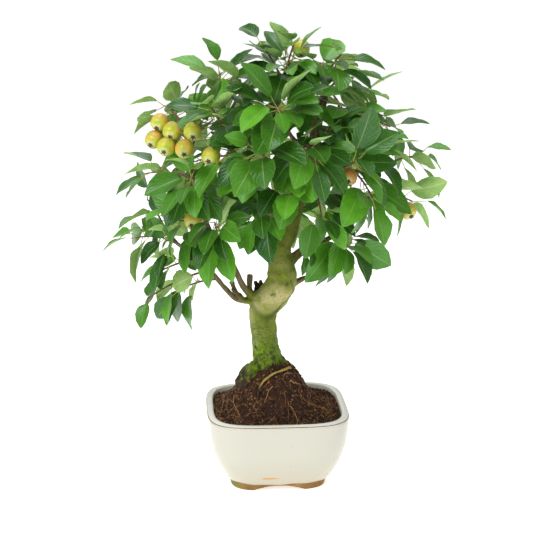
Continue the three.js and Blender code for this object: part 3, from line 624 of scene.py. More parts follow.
@dataclass(frozen=True)
class CreamGlaze:
    """Cream stoneware glaze, dipped and fired glossy: bluish where thick, brown where thin.

    It reads the point attributes thin, 1 on edges, and pooled, 1 on the rim.
    """

    body: str = "#C8C6B9"
    low: str = "#BFB8A1"
    pooled: str = "#F0EFE6"
    thin: str = "#8A5A3C"
    streak: str = "#CE9234"
    mottle_mm: float = 7.0
    fleck_mm: float = 26.0
    streak_place: Triple = (-15.0, -74.0, 22.0)
    streak_size: Triple = (16.0, 30.0, 1.9)

    def material(self) -> Material:
        """The finished material."""
        s = Surface("glazed stoneware, dipped cream glaze", ("pooled", "thin"),
                    cloud=(self.mottle_mm, 5, 0.65), ripple=(24, 3, 0.5))
        s.work_out(
            ("_ _ height", "SeparateXYZ", "place"), ("depth", "Math ADD", "pooled", "cloud"),
            ("uneven", "Math ADD", "thin", "cloud"),
            ("moved", "VectorMath ADD", "place", [-c * MM for c in self.streak_place]),
            ("shaped", "VectorMath MULTIPLY", "moved", [1 / (c * MM) for c in self.streak_size]),
            ("away", "VectorMath LENGTH", "shaped"), ("ragged", "Math ADD", "away", "cloud"))
        fleck = s.add("TexVoronoi", {"Vector": "place", "Scale": 1 / (self.fleck_mm * MM)})
        colour = s.paint(
            self.body, ("height", 60 * MM, 12 * MM, 0.8, self.low),
            ("depth", 0.8, 1.3, 1, self.pooled), ("uneven", 1.05, 1.35, 1, self.thin),
            ("ragged", 1.5, 1.1, 1, self.streak), (fleck, 0.035, 0.02, 0.45, self.thin))
        # A dipped glaze lies glossy over the clay, bluish where it pooled, brown where it ran thin.
        return s.finish(colour, ("ripple", 0.1, 1.2), Roughness=0.22, IOR=1.5,
                        Coat_Weight=0.25, Coat_Roughness=0.08)


@dataclass(frozen=True)
class BareClay:
    """Unglazed brown stoneware, turned and fired: matt, with sand grains and a green film."""

    body: str = "#A27C44"
    dark: str = "#84602E"
    algae: str = "#7C8030"
    grain_mm: float = 1.1

    def material(self) -> Material:
        """The finished material."""
        s = Surface("bare stoneware, fired unglazed", grain=(self.grain_mm, 3, 0.5),
                    blotch=(14, 3, 0.5), film=(9, 4, 0.5))
        # Algae creep up the side that stays damp, which is the left one.
        s.work_out(("side", "SeparateXYZ", "place"))
        damp = s.add("MapRange", {0: "side", 1: -46 * MM, 2: -64 * MM, 4: 0.7})
        s.work_out(("stain", "Math ADD", "film", damp))
        colour = s.paint(self.dark, ("blotch", 0.35, 0.65, 1, self.body),
                         ("stain", 0.78, 1, 0.8, self.algae))
        # Clay fired without glaze is matt, and its sand grains catch the light.
        return s.finish(colour, ("grain", 0.4, 0.4), Roughness=0.85)


@dataclass(frozen=True)
class Bark:
    """Living bark, grown: olive-green and wrinkled on the trunk, grey-brown on the branches."""

    olive: str = "#6E7828"
    beige_and_highlight: str = "#B7AF78"
    film: str = "#84922C"
    algae: str = "#5E7A14"
    rot: str = "#35231A"
    grey: str = "#86705C"
    brown: str = "#54412F"
    # dark serves the mottles and also the painted shade of the crown on the upper trunk.
    dark: str = "#474A16"
    pit: str = "#2A2414"
    # fold is the colour of the painted shade in the knee's fold, the wrinkles and the groove.
    fold: str = "#465812"
    moss: str = "#789A0C"
    dark_moss_and_shade: str = "#343C14"
    soil: str = "#33211A"
    ochre: str = "#9C8C44"
    heartwood: str = "#CDBA92"
    old_cut: str = "#5B4230"
    pit_mm: float = 7.0
    streak_mm: float = 4.0

    def material(self) -> Material:
        """The finished material."""
        s = Surface("apple bark, living and mossy",
                    ("moss", "woody", "pale", "crease", "ochre", "cut", "earth", "dead"),
                    broad=(26, 4, 0.6), film=(12, 5, 0.7), mottle=(4, 6, 0.78),
                    fine=(2.4, 5, 0.7), tufts=(8, 5, 0.7), end_grain=(3, 4, 0.7))
        # The moss is painted lighter on the side towards the light, the left one, and darker by
        # painted shade on the right, with random patches.
        s.work_out(("across _ height", "SeparateXYZ", "place"),
                   ("lit", "Math MULTIPLY_ADD", "pale", 0.55, "broad"),
                   ("lush", "Math MULTIPLY_ADD", "across", -3, "tufts"),
                   ("upright", "VectorMath MULTIPLY", "place", (1, 1, 0.25)))
        streaks = s.add("TexNoise", {"Vector": "upright", "Scale": 1 / (self.streak_mm * MM),
                                     "Detail": 4, "Roughness": 0.7})
        pits = s.add("TexVoronoi", {"Vector": "place", "Scale": 1 / (self.pit_mm * MM)})
        twig = s.paint(self.brown, (streaks, 0.35, 0.7, 1, self.grey))
        rotten = s.paint(self.rot, (streaks, 0.5, 0.75, 1, self.old_cut))
        green = s.paint(self.dark_moss_and_shade, ("lush", 0.5, 0.7, 1, self.moss))
        sawn = s.paint(self.old_cut, ("end_grain", 0.35, 0.6, 1, self.heartwood))
        # The beige that lit lays is a painted highlight on the front of the knee's bulge and on the
        # trunk's left side, over random pale patches.
        colour = s.paint(
            self.olive, ("lit", 0.45, 1, 1, self.beige_and_highlight), ("film", 0.48, 0.62, 0.8, self.film),
            ("height", 236 * MM, 190 * MM, 0.75, self.algae),
            # Painted shade: the upper trunk from 305 to 345 mm is darkened where the crown shades it.
            ("height", 305 * MM, 345 * MM, 0.45, self.dark), ("woody", 0, 1, 1, twig),
            ("dead", 0, 1, 1, rotten), ("mottle", 0.52, 0.66, 0.45, self.dark),
            (pits, 0.12, 0.07, 0.8, self.pit), ("ochre", 0, 1, 1, self.ochre),
            # Painted shade: the fold colour darkens the crease under the knee, the wrinkles' valleys
            # and the groove, and marks the eye.
            ("crease", 0, 1, 1, self.fold), ("moss", 0, 1, 1, green),
            ("earth", 0, 1, 1, self.soil), ("cut", 0.3, 0.7, 1, sawn))
        # Young bark is smooth and dull, so only its grain and pits show in the light.
        return s.finish(colour, ("fine", 0.7, 0.8), Roughness=0.66, Specular_IOR_Level=0.22)


@dataclass(frozen=True)
class DampSoil:
    """Peaty potting soil, damp and crumbly: chocolate brown with paler crumbs and rust flakes.

    It reads the point attribute tone, the shade of a crumb from 0 to 1.
    """

    dark: str = "#170D09"
    mid: str = "#44291A"
    pale: str = "#8A6646"
    rust: str = "#A8602F"
    crumb_mm: float = 2.4

    def material(self) -> Material:
        """The finished material."""
        s = Surface("peaty soil, damp and crumbly", ("tone",), grain=(self.crumb_mm, 6, 0.75))
        s.work_out(("both", "Math MULTIPLY_ADD", "tone", 0.6, "grain"))
        colour = s.paint(self.dark, ("both", 0.53, 0.75, 1, self.mid),
                         ("both", 0.86, 1.1, 1, self.pale), ("tone", 0.955, 0.97, 0.8, self.rust))
        # Damp peat swallows the light between its crumbs.
        return s.finish(colour, ("grain", 0.8, 1.6), Roughness=0.88, Specular_IOR_Level=0.3)


class LeafSide(Enum):
    """The two sides of a leaf, each with its own skin."""

    UPPER = "apple leaf, waxy upper side"
    LOWER = "apple leaf, downy lower side"


@dataclass(frozen=True)
class LeafSkin:
    """Apple leaf, living: waxy green above, pale and matt below, with side veins.

    It reads the point attributes blade, which is how far across and along the blade a point is,
    and tone.
    """

    side: LeafSide
    mature: str = "#124A02"
    fresh: str = "#60A824"
    young: str = "#86BE30"
    below: str = "#8CB45C"
    below_fresh: str = "#A8CE7C"
    vein: str = "#8FB262"
    pale_vein: str = "#CBD8A2"
    gloss: str = "#E4F2F4"
    side_veins: float = 7.0
    vein_slant: float = 0.42

    def material(self) -> Material:
        """The finished material."""
        s = Surface(self.side.value, ("tone",), cloud=(14, 3, 0.5), net=(2.6, 4, 0.7))
        blade = s.add("Attribute", attribute_name="blade").outputs["Vector"]
        s.work_out(("aside along", "SeparateXYZ", blade), ("across", "Math ABSOLUTE", "aside"),
                   ("start", "Math MULTIPLY_ADD", "across", -self.vein_slant, "along"),
                   ("turns", "Math MULTIPLY", "start", math.tau * self.side_veins),
                   ("wave", "Math COSINE", "turns"), ("quilt", "Math MULTIPLY", "wave", "across"))
        # The side veins are followed by the midrib and, on the upper side, by the pale rim.
        upper = self.side is LeafSide.UPPER
        (low, most), *ribs = ((0.84, 0.13), (0.06, 0.015, 0.6), (0.9, 1, 0.28)) if upper else (
            (0.8, 0.3), (0.08, 0.02, 0.9))
        s.given["veins"] = s.add("MapRange", {0: "wave", 1: low, 2: 1, 4: most})
        for low, high, most in ribs:
            rib = s.add("MapRange", {0: "across", 1: low, 2: high, 4: most})
            s.work_out(("veins", "Math MAXIMUM", "veins", rib))
        if upper:
            s.work_out(("sunk", "Math MULTIPLY", "quilt", -1))
            colour = s.paint(
                self.mature, ("tone", 0, 0.62, 1, self.fresh), ("tone", 0.68, 0.8, 1, self.young),
                ("cloud", 0.45, 0.75, 0.3, self.mature), ("net", 0.46, 0.66, 0.13, self.vein),
                ("veins", 0, 1, 1, self.vein))
            # The wax gives a soft cool gloss, and the sunk veins quilt it.
            return s.finish(colour, ("sunk", 0.3, 0.7), Roughness=0.3, Specular_IOR_Level=0.5,
                            Specular_Tint=self.gloss)
        colour = s.paint(self.below, ("cloud", 0.35, 0.7, 1, self.below_fresh),
                         ("veins", 0, 1, 1, self.pale_vein))
        # Down takes the gloss away, and the veins stand proud and pale.
        return s.finish(colour, ("quilt", 0.35, 0.7), Roughness=0.75, Specular_IOR_Level=0.25)


@dataclass(frozen=True)
class GreenStem:
    """Twig and leaf stalk, living: red-brown wood near the branch, green to red stalks.

    It reads the point attribute woody, 1 on the twig.
    """

    stalk: str = "#A6AE52"
    blush: str = "#9A5B45"
    wood: str = "#6A4736"

    def material(self) -> Material:
        """The finished material."""
        s = Surface("young apple stem, living", ("woody",), flush=(18, 3, 0.5), down=(1.5, 3, 0.5))
        colour = s.paint(self.stalk, ("flush", 0.5, 0.68, 1, self.blush),
                         ("woody", 0, 1, 1, self.wood))
        # A young stem is smooth, with a dull sheen of fine down.
        return s.finish(colour, ("down", 0.2, 0.2), Roughness=0.55, Sheen_Weight=0.1)


@dataclass(frozen=True)
class FruitSkin:
    """Crabapple skin, living and waxy: yellow-green, orange on the sun's side, with dots.

    It reads the point attributes blush, the share of orange, and end, 1 towards the calyx.
    """

    green: str = "#A6BA2C"
    yellow: str = "#D4CC42"
    orange: str = "#E09458"
    red: str = "#C06038"
    dots: str = "#E0D890"
    down: str = "#DCE4B2"
    dot_mm: float = 2.6

    def material(self) -> Material:
        """The finished material."""
        s = Surface("crabapple skin, waxy", ("blush", "end"), cloud=(9, 4, 0.6))
        s.work_out(("shade", "Math MULTIPLY_ADD", "end", -0.75, "blush"),
                   ("sunny", "Math ADD", "shade", "cloud"))
        dots = s.add("TexVoronoi", {"Vector": "place", "Scale": 1 / (self.dot_mm * MM)})
        colour = s.paint(
            self.green, ("cloud", 0.38, 0.62, 1, self.yellow), ("sunny", 0.5, 0.95, 1, self.orange),
            ("sunny", 0.95, 1.3, 0.7, self.red), (dots, 0.16, 0.08, 0.5, self.dots),
            ("end", 0.72, 0.9, 0.85, self.down))
        # Bloom and wax give a soft highlight, and the flesh lets a little light through. It has
        # no relief of its own.
        return s.finish(colour, None, Roughness=0.34, IOR=1.45, Coat_Weight=0.25,
                        Coat_Roughness=0.18, Subsurface_Weight=0.06, Subsurface_Scale=2 * MM)


@dataclass(frozen=True)
class PlainFinish:
    """A natural or moulded surface of one pigment, made uneven by grain at a real size.

    It reads the point attribute tone, the piece's own shade.
    """

    name: str
    light: str
    dark: str
    grain_mm: float
    roughness: float

    def material(self) -> Material:
        """The finished material."""
        s = Surface(self.name, ("tone",), grain=(self.grain_mm, 4, 0.5))
        s.work_out(("shade", "Math MULTIPLY_ADD", "tone", 0.6, "grain"))
        colour = s.paint(self.dark, ("shade", 0.35, 0.95, 1, self.light))
        return s.finish(colour, ("grain", 0.3, 0.3), Roughness=self.roughness)


# Each comment says what the finish gives the eye.
CALYX = PlainFinish("dry calyx, withered", "#8A7450", "#33241A", 0.8, 0.85)  # brown paper
MOSS = PlainFinish("cushion moss, living", "#8CA606", "#3A4A08", 4.0, 0.9)  # bright soft tips
ROOT_FIBRE = PlainFinish("fine roots, dried tan", "#B48452", "#38241A", 9.0, 0.8)  # dull threads
BLACK_PLASTIC = PlainFinish("polyethylene mesh, moulded black", "#2B2E2B", "#151715", 4.0, 0.5)

# ---- tubes along paths


class TubeMaker:
    """Round tubes along paths, by one Geometry Nodes tree."""

    def __init__(self) -> None:
        """Builds the tree."""
        t = Shaper("tubes along paths", {"radius": "FLOAT"}, Sides="Int", Material="Material")
        path = t.add("MeshToCurve", {"Mesh": "Geometry"})
        ring = t.add("CurvePrimitiveCircle", {"Resolution": "Sides", "Radius": 1.0})
        skin = t.add("CurveToMesh", {"Curve": path, "Profile Curve": ring.outputs["Curve"],
                                     "Scale": "radius", "Fill Caps": True})
        self.tree = t.finish(skin, Material=True)

    def make(self, name: str, paths: list[Array], sides: int, material: Material,
             **values: Iterable[float]) -> Any:
        """Makes one mesh of tubes.

        Args:
            name: The object's name.
            paths: For each tube, rows of x, y, z and radius in millimetres.
            sides: How many sides each tube has.
            material: The tubes' material.
            values: For each attribute, one value for each tube.

        Returns:
            The object.
        """
        rows = np.vstack(paths)
        lengths = [len(path) for path in paths]
        ends = np.cumsum(lengths)
        edges = [(i, i + 1) for end, count in zip(ends, lengths) for i in range(end - count, end - 1)]
        made = mesh_object(name, rows[:, :3], [], edges)
        store(made, radius=rows[:, 3] * MM,
              **{key: np.repeat(each, lengths) for key, each in values.items()})
        return with_nodes(made, self.tree, {"Sides": sides, "Material": material})


# ---- shapes strewn over a surface


class Strewer:
    """Copies of a small shape strewn over a surface, by one Geometry Nodes tree."""

    TONE_SEED = 5

    def __init__(self) -> None:
        """Builds the tree."""
        t = Shaper("shapes strewn over a surface", {"room": "FLOAT"}, Shape="Object",
                   Density="Float", Seed="Int", Smallest="Float", Largest="Float", Tilt="Float",
                   Material="Material")
        t.work_out(("thick", "Math MULTIPLY", "Density", "room"),
                   ("back", "Math MULTIPLY", "Tilt", -1),
                   ("low", "CombineXYZ", "back", "back", -math.pi),
                   ("high", "CombineXYZ", "Tilt", "Tilt", math.pi))
        spread = t.add("DistributePointsOnFaces", {
            "Mesh": "Geometry", "Density": "thick", "Seed": "Seed"})
        shade = t.add("RandomValue", {"Seed": self.TONE_SEED}, data_type="FLOAT")
        toned = t.add("StoreNamedAttribute", {
            "Geometry": spread.outputs["Points"], "Name": "tone", "Value": shade},
            data_type="FLOAT", domain="POINT")
        size = t.add("RandomValue", {
            2: "Smallest", 3: "Largest", "Seed": "Seed"}, data_type="FLOAT")
        spin = t.add("RandomValue", {0: "low", 1: "high", "Seed": "Seed"},
                     data_type="FLOAT_VECTOR")
        turned = t.add("RotateRotation", {
            "Rotation": spread.outputs["Rotation"], "Rotate By": spin}, rotation_space="LOCAL")
        shape = t.add("ObjectInfo", {"Object": "Shape"})
        copies = t.add("InstanceOnPoints", {
            "Points": toned, "Instance": shape.outputs["Geometry"], "Rotation": turned,
            "Scale": size})
        self.tree = t.finish(copies, Material=True)

    def strew(self, name: str, ground: Any, shape: Any, **inputs: Any) -> Any:
        """Strews a shape over an object, most thickly where its attribute room is 1.

        Args:
            name: The new object's name.
            ground: The object that is strewn over, which stays as it is.
            shape: The object that is copied, which is removed.
            inputs: The tree's other inputs by name, in metres and radians.

        Returns:
            All copies as one object.
        """
        made = with_nodes(in_scene(name, ground.data.copy()), self.tree, {"Shape": shape, **inputs})
        bpy.data.objects.remove(shape)
        return made


def form_object(name: str, form: bmesh.types.BMesh) -> Any:
    """An object in the scene from a form in metres, which is used up."""
    made = mesh_object(name, np.zeros((0, 3)), [])
    form.to_mesh(made.data)
    form.free()
    return made


def crumb_shape() -> Any:
    """A lumpy crumb of 24 faces, one metre across before it is scaled."""
    form = bmesh.new()
    bmesh.ops.create_cube(form, size=1)
    bmesh.ops.subdivide_edges(form, edges=form.edges, cuts=1, use_grid_fill=True)
    for vertex in form.verts:
        vertex.co = vertex.co.normalized() * (0.5 + 0.2 * noise.noise(vertex.co * 2.3))
    return form_object("crumb_shape", form)


def tuft_shape() -> Any:
    """A tuft of six pointed moss leaflets, one metre high before it is scaled."""
    form = bmesh.new()
    for k in range(6):
        angle = math.pi * k / 3
        out = Vector((math.cos(angle), math.sin(angle), 0))
        side = Vector((-out.y, out.x, 0))
        corners = [form.verts.new(c) for c in (
            out * 0.1 + side * 0.2, out * 0.1 - side * 0.2, out * 0.45 - Vector((0, 0, 0.2)),
            out * (0.8 if k % 2 else 0.35) + Vector((0, 0, 1)))]
        for three in ((0, 1, 2), (0, 1, 3), (1, 2, 3), (2, 0, 3)):
            form.faces.new([corners[i] for i in three])
    bmesh.ops.recalc_face_normals(form, faces=form.faces)
    return form_object("tuft_shape", form)


# ---- the pot


@dataclass
class Pot:
    """The rounded-square glazed pot, open at its drain hole and bare of glaze at the feet."""

    half: float = 100.0
    height: float = 105.0
    squareness: float = 4.2
    fullness: float = 2.4
    wall: float = 10.5
    foot_half: float = 70.0
    foot_height: float = 9.5
    foot_width: float = 14.0
    foot_recess: float = 7.5
    floor_z: float = 19.0
    arch_width: float = 72.0
    arch_height: float = 6.5
    drain_radius: float = 11.0
    sides: int = 192
    bare_rings: int = 9

    def body_half(self, z: float) -> float:
        """Half the width of the outside at a height."""
        rise = (z - self.foot_height) / (self.height - self.foot_height)
        swell = 1 - (1 - min(max(rise, 0), 1)) ** self.fullness
        return self.foot_half + (self.half - self.foot_half) * swell

    def ring(self, half: float, z: float, power: float | None = None) -> Array:
        """A ring of the rounded square, or a round one where power is 2."""
        angle = math.tau * (np.arange(self.sides) + 0.5) / self.sides
        cosine, sine = np.cos(angle), np.sin(angle)
        p = power or self.squareness
        reach = half / (np.abs(cosine) ** p + np.abs(sine) ** p) ** (1 / p)
        return np.column_stack([reach * cosine, reach * sine, np.full(self.sides, z)])

    def arched(self, ring: Array) -> Array:
        """Lifts a ring of the foot's underside into the low arches between the feet."""
        near = np.abs(ring[:, :2]).min(axis=1) / (self.arch_width / 2)
        return ring + np.outer(self.arch_height * np.clip(1 - near ** 2, 0, None), UP)

    def glaze_edge(self, ring: Array) -> Array:
        """Makes a ring where the glaze ends run unevenly up and down."""
        angle = np.arctan2(ring[:, 1], ring[:, 0])
        return ring + np.outer(0.7 * np.sin(5 * angle + 0.6) + 0.45 * np.sin(13 * angle), UP)

    def rings(self) -> list[tuple[Array, float, float]]:
        """The rings from the underside round to the drain hole.

        Returns:
            For each ring its points, how thin the glaze is there and how thick it pooled.
        """
        ring, arched, edge, wide = self.ring, self.arched, self.glaze_edge, self.body_half
        foot, low, top = self.foot_half, self.foot_height, self.height
        inner = foot - self.foot_width
        floor = wide(self.floor_z) - self.wall
        clay = [ring(self.drain_radius, self.foot_recess, 2), ring(inner - 1.5, self.foot_recess),
                ring(inner, self.foot_recess - 0.2)]
        clay += [arched(ring(half, z)) for half, z in (
            (inner + 0.4, 0.5), (inner + 1.2, 0), (foot - 3.6, 0), (foot - 2.4, 0.7))]
        clay += [ring(foot - 1.3, low - 2.4), edge(ring(foot - 0.9, low - 0.5))]
        out = [(bare, 0, 0) for bare in clay]
        out += [(edge(ring(wide(low) - 0.3, low)), 1, 0),
                (edge(ring(wide(low + 1), low + 1.1)), 0.5, 0)]
        out += [(ring(wide(z), z), 0, 0) for z in np.linspace(low + 3.5, top - 5, 30)]
        # Over the rim: how far in and how far down each ring lies, thin and pooled.
        rim = ((0.3, 3.2, 0, 0.3), (0.5, 2.5, 0.2, 0.5), (0.8, 2, 0.95, 0.6),
               (1.3, 1.4, 0.95, 0.7), (1.8, 1.1, 0.2, 0.9), (2.8, 0.7, 0, 1), (5.6, 0, 0, 1),
               (self.wall - 2, 0, 0, 1), (self.wall - 0.7, 0.5, 0.45, 1),
               (self.wall, 1.8, 0.2, 1))
        inside = [(self.half - inwards, top - down, *glaze) for inwards, down, *glaze in rim]
        inside += [(wide(z) - self.wall, z, 0, 1) for z in np.linspace(top - 5, self.floor_z + 8, 9)]
        inside += [(floor - 2, self.floor_z + 2, 0, 1), (floor - 6, self.floor_z, 0, 1)]
        out += [(ring(half, z), thin, pooled) for half, z, thin, pooled in inside]
        return [*out, (ring(self.drain_radius, self.floor_z, 2), 0, 1)]

    def build(self) -> Any:
        """Makes the pot's mesh, with bare clay below the glaze's edge."""
        points, thin, pooled = zip(*self.rings())
        n = len(points)
        made = mesh_object("pot_body", np.vstack(points), ring_faces(n, self.sides, closed=True))
        store(made, thin=np.repeat(thin, self.sides), pooled=np.repeat(pooled, self.sides))
        for finish in (CreamGlaze(), BareClay()):
            made.data.materials.append(finish.material())
        bare = [k < self.bare_rings or k == n - 1 for k in range(n)]
        made.data.polygons.foreach_set("material_index", np.repeat(bare, self.sides).astype(np.int32))
        return made


# ---- trunk, branches and roots


@dataclass
class Wood:
    """Trunk, branches, dead stubs and surface roots, grown as one skin."""

    voxel_mm: float = 1.45
    step_mm: float = 3.0
    wrinkle_mm: float = 4.6
    # The knee's fold: its middle, its height and how strongly it arches.
    knee: Triple = (-14.0, 235.0, 0.045)
    # Height and reach of the wrinkles below the knee and of the painted highlight on the bulge above
    # it.
    wrinkled: Pair = (212.0, 17.0)
    bulging: Pair = (266.0, 17.0)
    # Round marks, each with its radius.
    knot: Station = (41.0, -12.0, 419.0, 4.6)
    eye: Station = (13.0, -27.0, 286.0, 3.3)
    groove: tuple[Pair, ...] = (
        (19, 290), (21, 282), (21.5, 273), (14, 263), (5, 254), (-2, 243))
    groove_mm: float = 1.2
    # Stubs that end thicker than this are sawn off.
    sawn_mm: float = 3.0
    # Trunk, other branches, stubs and roots: how many sides, and how uneven.
    forms: tuple[tuple[int, float], ...] = ((40, 0.04), (14, 0.08), (16, 0.16), (16, 0.14))
    dead_wood: dict[str, float] = field(default_factory=lambda: {
        "broken_jag_left": 1.0, "broken_jag_right": 1.0, "gnarled_spur": 0.5})
    centres: list = field(default_factory=list)

    def smooth_path(self, stations: list[Station]) -> Array:
        """Close places along a stem with their radii, how far along they lie and where to."""
        rows = np.array(stations, float)
        length = np.linalg.norm(np.diff(rows[:, :3], axis=0), axis=1).sum()
        count = max(8, int(length / self.step_mm))
        dense = curve(rows, count)
        steps = np.linalg.norm(np.diff(dense[:, :3], axis=0), axis=1)
        tangents = unit(np.gradient(dense[:, :3], axis=0))
        return np.column_stack([dense, np.append(0, np.cumsum(steps)), tangents])

    def limb(self, stations: list[Station], sides: int, wild: float) -> tuple[Array, list]:
        """A closed tube along a stem, knobbly by a share of its radius.

        Args:
            stations: Places along the stem.
            sides: How many sides the tube has.
            wild: How uneven it is, as a share of its radius.

        Returns:
            Its points and its faces.
        """
        path = self.smooth_path(stations)
        tangents = path[:, 5:]
        side = square_to(tangents[0])[0]
        angle = math.tau * np.arange(sides) / sides
        rings = []
        for row, tangent in zip(path, tangents):
            side = unit(side - tangent * (side @ tangent))
            across = np.cross(tangent, side)
            lump = 1 + wild * np.sin(3 * angle + 0.03 * row[4] + stations[0][2])
            knob = 1 + 0.5 * wild * math.sin(0.35 * row[4] + stations[0][0])
            reach = (row[3] * knob * lump)[:, None]
            rings.append(row[:3] + reach * (np.cos(angle)[:, None] * side
                                            + np.sin(angle)[:, None] * across))
        faces = ring_faces(len(rings), sides)
        last = (len(rings) - 1) * sides
        faces += [list(range(sides))[::-1], list(range(last, last + sides))]
        self.centres.append(path)
        return np.vstack(rings), faces

    def trunk_stations(self) -> list[Station]:
        """The trunk's places, with its foot slimmer where soil lies on it."""
        return [(x, y, z, r * lerp(0.79, 1.0, float(smooth_step(160, 176, z))))
                for x, y, z, r in TRUNK[1:]]

    def skin(self) -> Any:
        """All limbs as one closed skin."""
        _, *branches = BRANCHES.values()
        kinds = ([self.trunk_stations()], branches, STUBS.values(), ROOTS.values())
        points, faces, start = [], [], 0
        for limbs, (sides, wild) in zip(kinds, self.forms):
            for stations in limbs:
                co, quads = self.limb(stations, sides, wild)
                points.append(co)
                faces += [[i + start for i in face] for face in quads]
                start += len(co)
        made = mesh_object("tree_wood", np.vstack(points), faces)
        remesh = made.modifiers.new("one skin", "REMESH")
        remesh.mode = "VOXEL"
        remesh.voxel_size = self.voxel_mm * MM
        soften = made.modifiers.new("soft joins", "SMOOTH")
        soften.factor = 0.5
        soften.iterations = 4
        return evaluated(made)

    def mark(self, co: Array, spot: Station) -> Array:
        """How much each place belongs to a round mark with a soft edge."""
        return np.exp(-(np.linalg.norm(co - spot[:3], axis=1) / spot[3]) ** 4)

    def relief(self, made: Any) -> None:
        """Raises bark, creases and wrinkles, and stores what the bark's colours read, painted
        highlight and shade among them.
        """
        co, normals = co_of(made), vectors_of(made.data.vertex_normals, "vector")
        rows = np.vstack(self.centres)
        near = self.nearest(co, rows)
        limb = np.repeat(np.arange(len(self.centres)), [len(path) for path in self.centres])[near]
        names = [*BRANCHES, *STUBS, *ROOTS]
        trunk, arching, shoulder = (
            limb == names.index(name) for name in ("trunk", "arching_root", "mossy_shoulder"))
        # How far along its limb each place lies.
        ring = rows[near, 4] + ((co - rows[near, :3]) * rows[near, 5:]).sum(axis=1)
        thick = smooth_step(3, 16, rows[near, 3])
        dead = np.select([limb == names.index(name) for name in self.dead_wood],
                         list(self.dead_wood.values()), 0.0) * smooth_step(3, 9, ring)
        x, y, z = co.T
        patchy = noise_at(co, 15, 5.0)
        front = smooth_step(6, -8, y)
        # The knee of the trunk bulges over the lower trunk; the fold below it is pushed in and
        # darkened by painted shade, most in its hollow.
        middle, height, arch = self.knee
        under = z - height - arch * (x - middle) ** 2
        crease = np.exp(-(under / 6.5) ** 2) * front * trunk * smooth_step(12, -4, x)
        hollow = crease * np.exp(-((x + 12) / 13) ** 2)
        warp = 7 * noise_at(co, 22, 2.0, 4)
        folds = np.minimum(*(np.sin(math.tau * (z + lean * x + warp + shift) / self.wrinkle_mm)
                             * smooth_step(-0.3, 0.3, noise_at(co, 16, shift))
                             for lean, shift in ((0.3, 0.0), (-0.55, 3.0))))
        wrinkled, bulging = (np.exp(-((z - level) / reach) ** 2)
                             for level, reach in (self.wrinkled, self.bulging))
        folds *= wrinkled * front
        scar, eye = self.mark(co, self.knot), self.mark(co, self.eye)
        # A thin groove follows the knee's right edge, pushed in and darkened by painted shade.
        off = np.min([np.hypot(x - across + 0.6 * patchy, z - up)
                      for across, up in curve(np.array(self.groove), 40)], axis=0)
        groove = np.exp(-(off / self.groove_mm) ** 2) * front * trunk
        push = (1.3 * thick * noise_at(co, 26, 3.0) + 0.35 * thick * noise_at(co, 5, 1.0)
                + (1.2 * shoulder + 0.5 * smooth_step(190, 168, z)) * noise_at(co, 7, 8.0, 4)
                - 2.0 * crease + 0.6 * folds * trunk - 1.2 * scar - 1.0 * eye - 0.8 * groove
                + dead * 1.5 * noise_at(co, 4.5, 9.0, 4))
        moved = ((co + normals * push[:, None]) * MM).astype(np.float32)
        made.data.vertices.foreach_set("co", moved.ravel())
        made.data.update()
        # Moss grows on the damp foot and mostly on its left side.
        left = np.clip(0.5 - 0.5 * normals[:, 0], 0, 1)
        cover = (0.6 + 0.3 * left - 0.2 * shoulder) * smooth_step(214, 178, z)
        cover += shoulder * (0.35 * noise_at(co, 4, 15.0)
                             - 0.45 * smooth_step(-36, -50, x - 0.5 * (z - 150)))
        moss = smooth_step(0.36, 0.7, cover + 0.4 * patchy + 0.4 * noise_at(co, 8, 12.0))
        moss = np.where(trunk | shoulder, moss, 0) * smooth_step(138, 158, z + 8 * patchy)
        clumps = np.maximum(smooth_step(0.0, 0.4, noise_at(co, 8, 6.0)), 0.6 * shoulder)
        branch = np.where(trunk, smooth_step(372, 470, z + 10 * patchy),
                          0.85 * smooth_step(10, 30, ring))
        # Painted highlight: the trunk's left-facing side below 330 mm and the front of the bulge
        # above the knee are made paler through pale.
        edge = smooth_step(0.35, 0.9, -normals[:, 0]) * smooth_step(330, 190, z) * 0.7
        bulge = bulging * smooth_step(-0.1, 0.6, -normals[:, 1])
        # Painted shade darkens the valleys of the wrinkles.
        wrinkle_shade = 0.85 * np.clip(-1.7 * folds - 0.1, 0, 1)
        earth = smooth_step(172, 150, z + 12 * patchy) * (1 - moss)
        # The crease carries painted shade of the knee's fold, the wrinkles and the groove, with the
        # dark eye.
        store(made, moss=moss, room=moss ** 2 * clumps * smooth_step(192, 174, z),
              woody=np.where(arching | shoulder, 0, branch),
              pale=np.maximum(bulge, edge) * trunk,
              crease=np.clip(0.3 * crease + 0.7 * hollow + wrinkle_shade + eye + 0.8 * groove, 0, 1),
              dead=dead, ochre=arching * smooth_step(134, 148, z),
              cut=np.maximum(scar, self.cut_ends(co)),
              earth=np.where(arching, 0.95 * smooth_step(150, 140, z), earth))
        made.data.shade_smooth()

    def nearest(self, co: Array, rows: Array) -> Array:
        """The number of the station whose wood each place lies on.

        Args:
            co: Rows of places.
            rows: Rows of stations, each with its place and radius first.

        Returns:
            One row number for each place.
        """
        best, least = np.zeros(len(co), int), np.full(len(co), np.inf)
        for k, row in enumerate(rows):
            off = np.linalg.norm(co - row[:3], axis=1) - row[3]
            closer = off < least
            best[closer], least[closer] = k, off[closer]
        return best

    def cut_ends(self, co: Array) -> Array:
        """How much each place belongs to the flat sawn end of a stub."""
        out = np.zeros(len(co))
        for stations in STUBS.values():
            end, before = (np.array(stations[k][:3], float) for k in (-1, -2))
            if stations[-1][3] > self.sawn_mm:
                along = (co - end) @ unit(end - before)
                near = np.linalg.norm(co - end, axis=1) < stations[-1][3] * 1.25
                out = np.maximum(out, near * smooth_step(-1.2, -0.2, along))
        return out

    def build(self) -> Any:
        """Makes the wood and dresses it."""
        made = self.skin()
        self.relief(made)
        made.data.materials.append(Bark().material())
        return made

